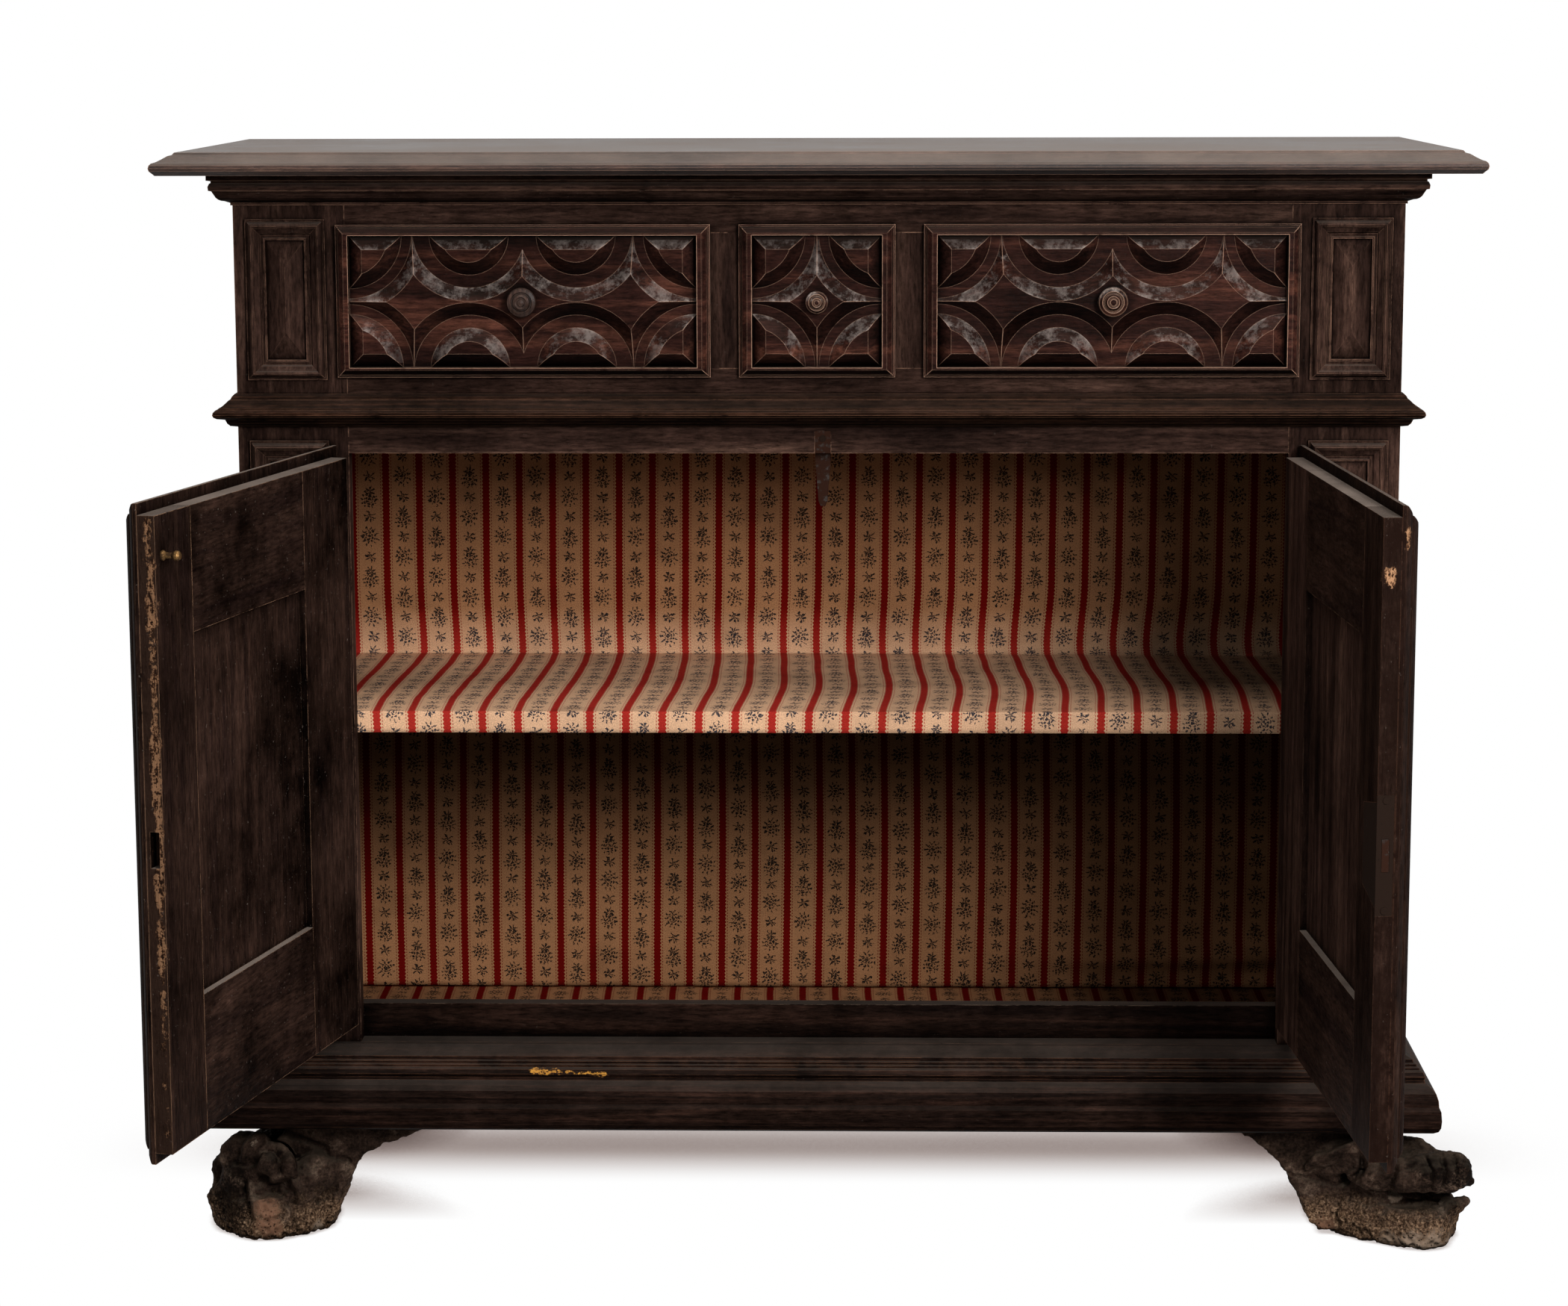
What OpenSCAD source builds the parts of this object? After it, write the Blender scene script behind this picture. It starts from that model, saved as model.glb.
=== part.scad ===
// Walnut credenza: two lipped doors, three carved drawers, lion-paw feet.
// Millimetres. The design is laid out with the front frame's face at y = 0, the
// floor at z = 0 and the middle of the front at x = 0, then moved as a whole so
// that the origin is the middle of the bottom of its box with the doors open.

/* [Overall] */
// Width of the carcass across the two stiles
body_w = 1258; // [1100:2:1500]
// Depth of the carcass from the front frame to the back
body_d = 438; // [380:2:520]
// Height of the feet under the base moulding
foot_h = 132; // [110:1:160]
// Height of the base moulding
base_h = 87; // [76:1:100]
// Height between base moulding and waist moulding
lower_h = 688; // [600:2:800]
// Height of the waist moulding
waist_h = 36; // [30:1:44]
// Height of the frieze that holds the drawers
frieze_h = 203; // [190:1:230]
// Height of the cornice moulding
cornice_h = 34; // [28:1:40]

/* [Top and mouldings] */
// Thickness of the top board
top_t = 24; // [20:1:30]
// Reach of the top board past the front and the sides
top_over = 76; // [64:1:90]
// Reach of the top board past the back
back_over = 5; // [0:1:20]
// Projection of the cornice moulding
cornice_p = 24; // [18:1:34]
// Projection of the waist moulding
waist_p = 24; // [18:1:34]
// Projection of the base moulding
base_p = 56; // [44:1:66]

/* [Carcass boards] */
// Thickness of the front frame
frame_t = 24; // [22:1:30]
// Width of a front stile
stile_w = 120; // [112:1:140]
// Thickness of the side boards
side_t = 22; // [18:1:28]
// Thickness of the back boards
back_t = 16; // [12:1:20]
// Number of back boards
back_n = 4; // [2:1:6]
// Thickness of the dust board and of the cupboard floor
board_t = 18; // [14:1:22]
// Thickness of the shelf under its cloth
shelf_t = 22; // [18:1:28]
// Height of the shelf's top face above the floor
shelf_z = 589; // [480:1:700]
// Height of the cupboard floor's top face above the floor
floor_z = 174; // [160:1:190]
// Height of the top edge of the recessed plinth rail
plinth_z = 257; // [240:1:270]
// Thickness of the plinth rail
plinth_t = 18; // [14:1:24]
// Height of the head rail that shows under the waist moulding
head_show = 29; // [20:1:40]
// Thickness of the lining cloth
cloth_t = 1.2; // [0.8:0.1:2]
// Radius of the lining where it turns from the back to the shelf
cove_r = 34; // [10:1:60]

/* [Drawers] */
// Width of the centre drawer's opening
centre_open = 150; // [120:1:220]
// Width of a muntin between two drawers
muntin_w = 49; // [40:1:60]
// Height of a drawer opening
drawer_open_h = 146; // [130:1:160]
// Height of the drawer rail that shows over the waist moulding
drawer_rail_show = 27; // [20:1:32]
// Lap of a drawer front over the frame on every side
drawer_lap = 9; // [6:1:12]
// Thickness of a drawer front in front of the frame
drawer_front_t = 16.5; // [14:0.5:22]
// Depth of the carving in the drawer fronts
carve_d = 9; // [5:0.5:11]
// Slope of the walls of the carving, measured flat
carve_slope = 14; // [10:0.5:16]
// Width of the flat border at the ends of the carved field
border_w = 14; // [8:1:18]
// Height of the flat border above and below the carved field
border_h = 11; // [8:1:16]
// Width of the bevel along the edge of the carved field
bevel_w = 15; // [8:1:20]
// Depth of a drawer box
drawer_d = 372; // [300:2:440]
// Thickness of the drawer sides
drawer_side_t = 11; // [8:1:14]
// Running gap beside and above a drawer box
drawer_gap = 1.5; // [1:0.1:3]
// Running gap under a drawer box
runner_gap = 0.3; // [0.2:0.1:0.6]
// Diameter of a drawer knob
knob_d = 32; // [24:1:40]

/* [Doors] */
// Thickness of the door core
core_t = 18; // [16:0.5:22]
// Thickness of the lipped frame on the door's front
lip_t = 20; // [16:0.5:22]
// Reach of the lip past the opening at the top and the bottom
lip_over = 10.5; // [8:0.5:12]
// Reach of the lip past the opening at the hinges
lip_hinge = 16; // [10:0.5:16]
// Height of the door core's bottom edge above the floor
door_z = 246; // [238:1:252]
// Gap between the door core and its opening
door_gap = 1.2; // [0.8:0.1:2.5]
// Width of the door's hinge stile
door_stile_w = 128; // [90:1:140]
// Width of the door's meeting stile
meet_w = 86; // [70:1:110]
// Height of the door's top rail
door_top_w = 125; // [90:1:140]
// Height of the door's bottom rail
door_bottom_w = 140; // [90:1:160]
// Thickness of the door panel between the two recesses
panel_t = 11; // [9:1:13]
// How far the left door stands open, from closed
left_open = 103.3; // [90:0.1:110]
// How far the right door stands open, from closed
right_open = 94.2; // [90:0.1:110]

/* [Ironwork] */
// Distance of the hinge pin in front of the frame
pivot_out = 5; // [5:0.5:8]
// Radius of a hinge barrel
barrel_r = 4; // [3.5:0.25:4.5]
// Radius of a hinge pin
pin_r = 2; // [1.5:0.25:2.25]
// Height of a hinge eye on the door
eye_h = 26; // [20:1:34]
// Height of the pintle's own barrel under the eye
pintle_h = 14; // [10:1:18]
// Distance of the hinges from the ends of the door
hinge_in = 84; // [60:1:110]
// Height of the middle of the lock above the floor
lock_z = 550; // [480:1:640]
// Height of the lock's edge plate
lock_plate_h = 118; // [90:1:130]
// Height of the bolt
bolt_h = 32; // [20:1:36]
// Thickness of the bolt
bolt_t = 7; // [5:0.5:9]
// Travel of the bolt
bolt_throw = 9; // [6:0.5:12]
// Length of the door stop's hanging leg
stop_len = 60; // [40:1:80]

/* [Pilasters and feet] */
// Width of a pilaster frame
pil_w = 86; // [76:1:92]
// Width of the frame's moulding
pil_ring = 22; // [18:1:25]
// Space above and below a pilaster frame
pil_margin = 15; // [10:1:22]
// Height of a hipped boss
boss_h = 9; // [6:0.5:12]
// Length of the right paw from its heel to its toes
paw_len_r = 157; // [140:1:175]
// Length of the left paw, whose toes are worn away
paw_len_l = 116; // [100:1:160]
// Width of the right paw
paw_w_r = 118; // [100:1:130]
// Width of the left paw
paw_w_l = 134; // [100:1:140]
// Reach of the right foot's bracket along the front from the carcass side
bracket_r = 170; // [150:1:200]
// Reach of the left foot's bracket along the front from the carcass side
bracket_l = 195; // [150:1:210]
// Thickness of the bracket
bracket_t = 30; // [24:1:36]

/* [Hidden] */
$fn = 48;
eps = 0.01;
fit = 0.1;        // glued or let-in fit that still leaves the pieces separate
run_gap = 0.3;    // gap between faces that slide or swing past each other
pin_gap = 0.05;   // radial running fit of a hinge pin
over = 20;        // how far a cutter runs past what it cuts
mitre_h = base_h + 2 * over;  // height of the blocks that cut the mitres
half_w = body_w / 2;
open_w = half_w - stile_w;
inner_w = half_w - side_t;
z_base = foot_h;
z_lower = z_base + base_h;
z_waist = z_lower + lower_h;
z_frieze = z_waist + waist_h;
z_cornice = z_frieze + frieze_h;
z_top = z_cornice + cornice_h;
head_z = z_waist - head_show;
back_y = body_d - back_t;
dr_open_z = z_frieze + drawer_rail_show;
rail_joint_z = z_waist + waist_h / 2;
side_open_w = open_w - centre_open / 2 - muntin_w;
side_open_x = centre_open / 2 + muntin_w + side_open_w / 2;
front_h = drawer_open_h + 2 * drawer_lap;
front_gap = 0.4;
guide_h = 30;
kicker_h = 18;
cleat_h = 25;
cleat_w = 20;
// Doors, closed: left door runs from -core_out to -core_in
core_out = open_w - door_gap;
core_in = door_gap;
core_top = head_z - 2;
lip_gap = 0.5;
lip_x = open_w + lip_hinge;
lip_top = core_top + lip_over + 1;
lip_bottom = door_z - lip_over - 1;
lip_bevel = 22;
lip_edge_t = 4;
pivot_x = lip_x + 0.5;
pivot_y = -pivot_out;
groove = 8;
screw_r = 2;
screw_head_r = 3.6;
screw_head_t = 1;
hinge_zs = [door_z + hinge_in, core_top - hinge_in - eye_h];

walnut = "#3d2b25";
walnut_dark = "#2e211d";
walnut_worn = "#6b4232";
raw_wood = "#8a6a4a";
iron = "#4a4340";
brass = "#9a7b45";
cloth = "#b8946c";

// Moves a piece from the design's frame to the part's frame
module placed() translate([shift_x, shift_y, 0]) children();

// Extrudes a (y, z) outline along X, centred on x = 0
module along_x(len) translate([-len / 2, 0, 0]) rotate([90, 0, 90])
    linear_extrude(len) children();

// Extrudes an (x, z) outline along Y from y0 to y1
module along_y(y0, y1) translate([0, y1, 0]) rotate([90, 0, 0])
    linear_extrude(y1 - y0) children();

// A box between two corners
module block(a, b) translate(a) cube(b - a);

// Points of a quarter arc, for moulding profiles
function arc(c, r, a0, a1, n = 6) =
    [for (i = [0:n]) let (a = a0 + (a1 - a0) * i / n) c + r * [cos(a), sin(a)]];

// Moulding profiles: [projection, height above the moulding's bottom]
function top_profile() = [[top_over - 24, top_t], [top_over - 22, top_t - 2.4],
    [top_over - 18, top_t - 3.4], [top_over - 12, top_t - 7],
    [top_over - 7, top_t - 9.6], [top_over - 3, top_t - 10.8],
    [top_over - 0.8, top_t - 13], [top_over, top_t - 16],
    [top_over - 0.8, top_t - 19], [top_over - 4, top_t - 22],
    [top_over - 6, 0]];
function cornice_profile() = concat(
    [[0, 0], [cornice_p * 0.08, 0], [cornice_p * 0.08, cornice_h * 0.08],
     [cornice_p * 0.3, cornice_h * 0.14]],
    arc([cornice_p * 0.3, cornice_h * 0.44], cornice_h * 0.3, 270, 340, 4),
    [[cornice_p * 0.8, cornice_h * 0.46], [cornice_p * 0.92, cornice_h * 0.48],
     [cornice_p * 0.94, cornice_h * 0.6], [cornice_p * 0.88, cornice_h * 0.7],
     [cornice_p * 0.82, cornice_h * 0.72], [cornice_p * 0.82, cornice_h * 0.78],
     [cornice_p, cornice_h * 0.8], [cornice_p, cornice_h], [0, cornice_h]]);
function waist_profile() = [[0, 0], [waist_p * 0.3, waist_h * 0.04],
    [waist_p * 0.42, waist_h * 0.12], [waist_p * 0.5, waist_h * 0.24],
    [waist_p * 0.82, waist_h * 0.28], [waist_p * 0.95, waist_h * 0.33],
    [waist_p, waist_h * 0.4], [waist_p * 0.97, waist_h * 0.48],
    [waist_p * 0.88, waist_h * 0.54], [waist_p * 0.78, waist_h * 0.55],
    [waist_p * 0.74, waist_h * 0.6], [waist_p * 0.62, waist_h * 0.64],
    [waist_p * 0.46, waist_h * 0.74], [waist_p * 0.34, waist_h * 0.82],
    [waist_p * 0.28, waist_h * 0.83], [waist_p * 0.22, waist_h * 0.92],
    [waist_p * 0.1, waist_h], [0, waist_h]];
function base_profile() = [[0, 0], [base_p - 8, 0], [base_p - 3, 3],
    [base_p - 0.6, 8], [base_p, 16], [base_p - 0.8, 26], [base_p - 3, 31],
    [base_p - 3.6, 38], [base_p - 6, 45], [base_p - 10, 50],
    [base_p - 14, 53], [base_p - 17, 54.5], [base_p - 18, 57.5],
    [base_p - 17, 61], [base_p - 19, 66], [base_p - 22.5, 68],
    [base_p - 23, 70], [base_p - 25.5, 71], [base_p - 26, 73.5],
    [base_p - 28.5, 74.5], [base_p - 29.5, 78], [base_p * 0.16, base_h],
    [0, base_h]];

// One mitred length along the front of the carcass
module front_length(profile, z, p) intersection() {
    translate([0, 0, z]) along_x(body_w + 2 * p + 2)
        polygon([for (q = profile) [-q[0], q[1]]]);
    translate([0, 0, z - over]) linear_extrude(mitre_h) polygon([
        [-half_w, 0], [-half_w - 2 * p, -2 * p], [half_w + 2 * p, -2 * p],
        [half_w, 0]]);
}

// One mitred length along the right side of the carcass
module side_length(profile, z, p) intersection() {
    translate([half_w, 0, z]) along_y(-2 * p, body_d)
        polygon([for (q = profile) [q[0], q[1]]]);
    translate([0, 0, z - over]) linear_extrude(mitre_h) polygon([
        [half_w, 0], [half_w + 2 * p, -2 * p], [half_w + 2 * p, body_d],
        [half_w, body_d]]);
}

// Moulding round three sides: three separate lengths that meet on the mitre
module moulding3(profile, z, p) {
    front_length(profile, z, p);
    side_length(profile, z, p);
    mirror([1, 0, 0]) side_length(profile, z, p);
}

// Ring of four mitred moulded sides in the XZ plane, standing out along -Y.
// The profile runs from the outer edge inwards: [distance in, projection]
module picture_frame(w, h, ring, profile) {
    for (s = [-1, 1]) {
        intersection() {
            along_x(w) polygon([for (q = profile) [-q[1], s * (h / 2 - q[0])]]);
            along_y(-over, over) polygon([[-w / 2, s * h / 2], [w / 2, s * h / 2],
                [w / 2 - ring, s * (h / 2 - ring)], [-w / 2 + ring, s * (h / 2 - ring)]]);
        }
        intersection() {
            translate([0, 0, -h / 2]) linear_extrude(h)
                polygon([for (q = profile) [s * (w / 2 - q[0]), -q[1]]]);
            along_y(-over, over) polygon([[s * w / 2, -h / 2], [s * w / 2, h / 2],
                [s * (w / 2 - ring), h / 2 - ring], [s * (w / 2 - ring), -h / 2 + ring]]);
        }
    }
}

// Top board with its moulded edge on the front and both sides
module top_board() color(walnut) placed() intersection() {
    translate([0, 0, z_top]) along_x(body_w + 2 * top_over + 2)
        polygon(concat([[body_d + back_over, 0], [body_d + back_over, top_t]],
            [for (q = top_profile()) [-q[0], q[1]]]));
    translate([0, 0, z_top]) along_y(-2 * top_over, body_d + over)
        polygon(concat([for (q = top_profile()) [-half_w - q[0], q[1]]],
            [for (i = [len(top_profile()) - 1:-1:0])
                [half_w + top_profile()[i][0], top_profile()[i][1]]]));
}

module cornice_moulding() color(walnut) placed()
    moulding3(cornice_profile(), z_cornice, cornice_p);

module waist_moulding() color(walnut_worn) placed()
    moulding3(waist_profile(), z_waist, waist_p);

module base_moulding() color(walnut_dark) placed()
    moulding3(base_profile(), z_base, base_p);

// Side board, between the front frame and the back face
module side_board(s) color(walnut) placed()
    block([s > 0 ? inner_w : -half_w, frame_t, z_base],
          [s > 0 ? half_w : -inner_w, body_d, z_top]);
module side_left() side_board(-1);
module side_right() side_board(1);

// Front stile with the two holes that the pintle spikes are driven into
spike_r = 3;
spike_in = 20;
module stile(s) color(walnut) placed() difference() {
    block([s > 0 ? open_w : -half_w, 0, z_base], [s > 0 ? half_w : -open_w, frame_t, z_top]);
    for (z = hinge_zs) translate([s * pivot_x, -1, z - pintle_h / 2])
        rotate([-90, 0, 0]) cylinder(r = spike_r, h = spike_in + 1);
}
module stile_left() stile(-1);
module stile_right() stile(1);

// A rail of the front frame between the stiles
module front_rail(z0, z1) block([-open_w, 0, z0], [open_w, frame_t, z1]);
module frieze_top_rail() color(walnut) placed()
    front_rail(dr_open_z + drawer_open_h, z_top);
module drawer_rail() color(walnut) placed() front_rail(rail_joint_z, dr_open_z);
module bottom_rail() color(walnut_dark) placed() front_rail(z_base, z_lower);

// Head rail with the shallow seat of the door stop and its screw hole
stop_w = 17;
stop_t = 1.6;
stop_seat = 2;
stop_up = 24;
screw_z = head_z + stop_up - 8;
stop_x = 6;
module head_rail() color(walnut) placed() difference() {
    front_rail(head_z, rail_joint_z);
    block([stop_x - stop_w / 2 - fit, -1, head_z - 1],
          [stop_x + stop_w / 2 + fit, stop_seat, head_z + stop_up + fit]);
    block([stop_x - stop_w / 2 - fit, -1, head_z - 1],
          [stop_x + stop_w / 2 + fit, frame_t + 1, head_z + stop_t + fit]);
    translate([stop_x, stop_seat - 1, screw_z]) rotate([-90, 0, 0])
        cylinder(r = screw_r, h = 16);
}

module muntins() color(walnut) placed() for (s = [-1, 1])
    block([s > 0 ? centre_open / 2 : -centre_open / 2 - muntin_w, 0, dr_open_z],
          [s > 0 ? centre_open / 2 + muntin_w : -centre_open / 2, frame_t,
           dr_open_z + drawer_open_h]);

// Plinth rail behind the door bottoms, lapped behind the stiles
module plinth_rail() color(walnut_dark) placed()
    block([-inner_w, frame_t, floor_z], [inner_w, frame_t + plinth_t, plinth_z]);

// Upright planks that close the back, butted edge to edge
module back_boards() color(walnut_dark) placed() for (i = [0:back_n - 1])
    block([-inner_w + 2 * inner_w * i / back_n + (i > 0 ? fit : 0), back_y, z_base],
          [-inner_w + 2 * inner_w * (i + 1) / back_n, body_d, z_top]);

module cupboard_floor() color(walnut_dark) placed()
    block([-inner_w, frame_t, floor_z - board_t], [inner_w, back_y, floor_z]);

dust_z = dr_open_z;
module dust_board() color(walnut_dark) placed()
    block([-inner_w, frame_t, dust_z - board_t], [inner_w, back_y, dust_z]);

// Strips that keep the drawers straight: between them and beside the sides
module drawer_strips(z0, z1) for (s = [-1, 1]) {
    block([s > 0 ? centre_open / 2 : -centre_open / 2 - muntin_w, frame_t, z0],
          [s > 0 ? centre_open / 2 + muntin_w : -centre_open / 2, back_y, z1]);
    block([s > 0 ? open_w : -inner_w, frame_t, z0], [s > 0 ? inner_w : -open_w, back_y, z1]);
}
module drawer_guides() color(walnut_dark) placed() drawer_strips(dust_z, dust_z + guide_h);

// Strips above the drawer sides that stop a drawer from tipping
kicker_z = dr_open_z + drawer_open_h;
module drawer_kickers() color(walnut_dark) placed() {
    kick = drawer_side_t + drawer_gap + 4;
    for (s = [-1, 1]) {
        block([s > 0 ? centre_open / 2 - kick : -centre_open / 2 - muntin_w - kick,
               frame_t, kicker_z],
              [s > 0 ? centre_open / 2 + muntin_w + kick : -centre_open / 2 + kick,
               back_y, kicker_z + kicker_h]);
        block([s > 0 ? open_w - kick : -inner_w, frame_t, kicker_z],
              [s > 0 ? inner_w : -open_w + kick, back_y, kicker_z + kicker_h]);
    }
}

// Shelf between the sides, its front edge just behind the closed doors
shelf_y = frame_t + cloth_t;
shelf_wrap = 30;  // how far the cloth runs back under the shelf
cleat_in = 15;    // how far a cleat stays from the cloth and from the back boards
shelf_top = shelf_z - cloth_t;
module shelf() color(raw_wood) placed()
    block([-inner_w, shelf_y, shelf_top - shelf_t], [inner_w, back_y, shelf_top]);

module shelf_cleats() color(walnut_dark) placed() for (s = [-1, 1])
    block([s > 0 ? inner_w - cleat_w : -inner_w, shelf_y + shelf_wrap + cleat_in,
           shelf_top - shelf_t - cleat_h],
          [s > 0 ? inner_w : -inner_w + cleat_w, back_y - cleat_in, shelf_top - shelf_t]);

// Pilaster frames: fillet, bead, ogee, flat and an inner fillet
pil_profile = concat([[0, 0], [0, 3.5], [2.5, 3.5], [3.2, 6.5], [5, 9.2]],
    [[7, 10.2], [9, 9.4], [10, 7.6], [12, 6.6], [15, 5.4]],
    [[16.5, 3.4], [pil_ring - 2.5, 3.4], [pil_ring - 2, 5], [pil_ring, 5],
     [pil_ring, 0]]);
pil_x = half_w - stile_w / 2 + 4;
pil_uz = z_frieze + frieze_h / 2;
pil_uh = frieze_h - 2 * pil_margin;
pil_lz = (z_lower + z_waist) / 2;
pil_lh = lower_h - 2 * pil_margin;
module pilaster_frame(x, z, h) color(walnut) placed() translate([x, 0, z])
    picture_frame(pil_w, h, pil_ring, pil_profile);
module pilaster_frame_ul() pilaster_frame(-pil_x, pil_uz, pil_uh);
module pilaster_frame_ur() pilaster_frame(pil_x, pil_uz, pil_uh);
module pilaster_frame_ll() pilaster_frame(-pil_x, pil_lz, pil_lh);
module pilaster_frame_lr() pilaster_frame(pil_x, pil_lz, pil_lh);

// Hipped boss: a roof with a level ridge, w wide and h tall
module boss(w, h, p, hip) intersection() {
    translate([0, 0, -h / 2]) linear_extrude(h)
        polygon([[-w / 2, 0], [w / 2, 0], [w / 2, -1], [0, -p], [-w / 2, -1]]);
    along_x(w) polygon([[0, -h / 2], [-1, -h / 2], [-p, -h / 2 + hip],
        [-p, h / 2 - hip], [-1, h / 2], [0, h / 2]]);
}
module pilaster_bosses() color(walnut) placed() for (s = [-1, 1]) {
    w = pil_w - 2 * pil_ring;
    translate([s * pil_x, 0, pil_uz]) boss(w, pil_uh - 2 * pil_ring, boss_h, 29);
    translate([s * pil_x, 0, pil_lz]) boss(w, pil_lh - 2 * pil_ring, boss_h, 29);
}

// Paw foot. Rings run from the heel to the toes along the corner's diagonal.
// Each ring is a flat-bottomed rounded section with four lobes for the toes.
paw_n = 40;
paw_steps = 26;
function lerp(a, b, t) = a + (b - a) * t;
function smooth(t) = t * t * (3 - 2 * t);
function ramp(t, a, b) = smooth(min(1, max(0, (t - a) / (b - a))));
function spow(c, e) = sign(c) * pow(abs(c), e);
// t = 0 at the heel and 1 at the toe tips
function paw_half(t, wide) = wide / 2 * (0.66 + 0.26 * ramp(t, 0, 0.3)
    + 0.08 * ramp(t, 0.45, 0.7) - 0.36 * pow(ramp(t, 0.8, 1), 2));
function paw_top(t) = foot_h * (0.86 + 0.06 * ramp(t, 0, 0.15) - 0.12 * ramp(t, 0.25, 0.5)
    + 0.07 * ramp(t, 0.55, 0.82) - 0.24 * pow(ramp(t, 0.86, 1), 1.6));
function toe(t, v) = 1 - 0.09 * ramp(t, 0.45, 0.8) * (0.5 + 0.5 * cos(4 * 180 * v));
// The paw draws in a little between the sole and the toes
function waist(s) = 0.07 * max(0, 1 - pow(s * 3, 2));
function paw_ring(t, len, wide) = [for (k = [0:paw_n - 1]) let (
        a = 360 * k / paw_n, c = spow(cos(a), 0.72), s = spow(sin(a), 0.72),
        w = paw_half(t, wide) * (1 - ramp(t, 0.5, 0.8) * waist(s)),
        h = paw_top(t) * toe(t, c), lift = 6 * ramp(t, 0.9, 1))
    [t * len * (1 - ramp(t, 0.8, 1) * waist(s)), w * c,
     max(lift, h * 0.46 + h * 0.54 * s)]];
// Rings stand closer together near the toe tips
function paw_t(i) = 1 - pow(1 - i / paw_steps, 1.5);
module paw(reach, wide) {
    rings = [for (i = [0:paw_steps]) paw_ring(paw_t(i), reach, wide)];
    pts = concat([for (r = rings) each r], [[reach * 0.98, 0, paw_top(1) * 0.5]]);
    tip = len(pts) - 1;
    last = paw_steps * paw_n;
    faces = concat([[for (k = [0:paw_n - 1]) k]],
        [for (i = [0:paw_steps - 1], k = [0:paw_n - 1]) let (
            a = i * paw_n + k, b = i * paw_n + (k + 1) % paw_n, c = b + paw_n, d = a + paw_n)
            each [[a, d, c], [a, c, b]]],
        [for (k = [0:paw_n - 1]) [last + k, tip, last + (k + 1) % paw_n]]);
    polyhedron(points = pts, faces = faces, convexity = 6);
}

// Curved bracket beside the paw, drawn from its tip at u = 0 towards the paw
bracket_low = 0.3;
function bracket_edge(len) = [for (i = [0:10]) let (u = i / 10)
    [u * len, foot_h * (1 - (1 - bracket_low) * pow(u, 1.8) - 0.02)]];
module bracket_outline(len) polygon(concat(bracket_edge(len), [[len, foot_h], [0, foot_h]]));

paw_in = 42;      // how far in from the carcass side the paw's heel starts
paw_back = 67;    // how far behind the front frame's face the paw's heel starts
leg_w = 86;       // width of the leg block over the paw
leg_out = 12;     // how far the leg block stays inside the carcass edge
leg_x = half_w - leg_out;
side_bracket = 70;
module paw_foot(len, wide, bracket) {
    tip_x = half_w - bracket;
    translate([half_w - paw_in, paw_back, 0]) rotate([0, 0, -45]) paw(len, wide);
    block([leg_x - leg_w, 2, foot_h * bracket_low], [leg_x, 2 + leg_w, foot_h]);
    translate([tip_x, 0, 0]) along_y(2, 2 + bracket_t)
        bracket_outline(leg_x - leg_w + eps - tip_x);
    translate([leg_x - bracket_t, 2 + leg_w + side_bracket - eps, 0]) rotate([0, 0, -90])
        along_y(0, bracket_t) bracket_outline(side_bracket);
}
module paw_right() color(walnut_dark) placed() paw_foot(paw_len_r, paw_w_r, bracket_r);
module paw_left() color(walnut_dark) placed() mirror([1, 0, 0])
    paw_foot(paw_len_l, paw_w_l, bracket_l);

// The whole design moves so that its box is centred on the origin
function paw_extent(len, wide) = half_w - paw_in + max([for (i = [0:paw_steps])
    for (p = paw_ring(paw_t(i), len, wide)) (p[0] + p[1]) / sqrt(2)]);
reach_right = max(half_w + top_over, paw_extent(paw_len_r, paw_w_r));
reach_left = max(half_w + top_over, paw_extent(paw_len_l, paw_w_l));
shift_x = -(reach_right - reach_left) / 2;
swing_r = pivot_x - core_in;
function door_front_y(a, y) = pivot_y - swing_r * sin(a) + (y - pivot_y) * cos(a);
inner_face = core_t - lip_gap;
y_min = min(door_front_y(right_open, inner_face), door_front_y(left_open, inner_face),
            door_front_y(right_open, -lip_gap), door_front_y(left_open, -lip_gap));
shift_y = -(y_min + body_d + back_over) / 2;

// Plain back feet with a curved inner edge
back_foot_w = 90;
back_foot_t = 56;
back_foot_in = 4;
back_foot_r = foot_h * 0.36;
back_foot_top = foot_h * 0.42;
module back_feet() color(walnut_dark) placed() for (s = [0, 1]) mirror([s, 0, 0])
    translate([half_w - back_foot_w, body_d - back_foot_in - back_foot_t, 0])
        along_y(0, back_foot_t) difference() {
            translate([-30, 0]) square([back_foot_w + 30, foot_h]);
            translate([-42, back_foot_top]) circle(r = back_foot_r, $fn = 96);
            translate([-50, -1]) square([8 + back_foot_r, back_foot_top + 1]);
        }

// Cloth on the back wall, down and over the shelf and round its front edge
lower_fold_r = 6; // radius of the lower lining where it turns on to the floor
function cove(y, z, r, t, flip) = [for (i = [0:8]) let (a = flip ? i * 90 / 8 : 90 - i * 90 / 8)
    [y - r + (r - t) * cos(a), z + r - (r - t) * sin(a)]];
module upper_lining() color(cloth) placed() along_x(2 * inner_w - 2 * fit) {
    y1 = back_y;
    z1 = dust_z - board_t - run_gap;
    z0 = shelf_top;
    t = cloth_t;
    polygon(concat([[y1, z1], [y1 - t, z1]], cove(y1, z0, cove_r, t, true),
        [[shelf_y - t, z0 + t], [shelf_y - t, z0 - shelf_t - t],
         [shelf_y + shelf_wrap, z0 - shelf_t - t],
         [shelf_y + shelf_wrap, z0 - shelf_t],
         [shelf_y, z0 - shelf_t], [shelf_y, z0]],
        cove(y1, z0, cove_r, 0, false)));
}
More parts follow.
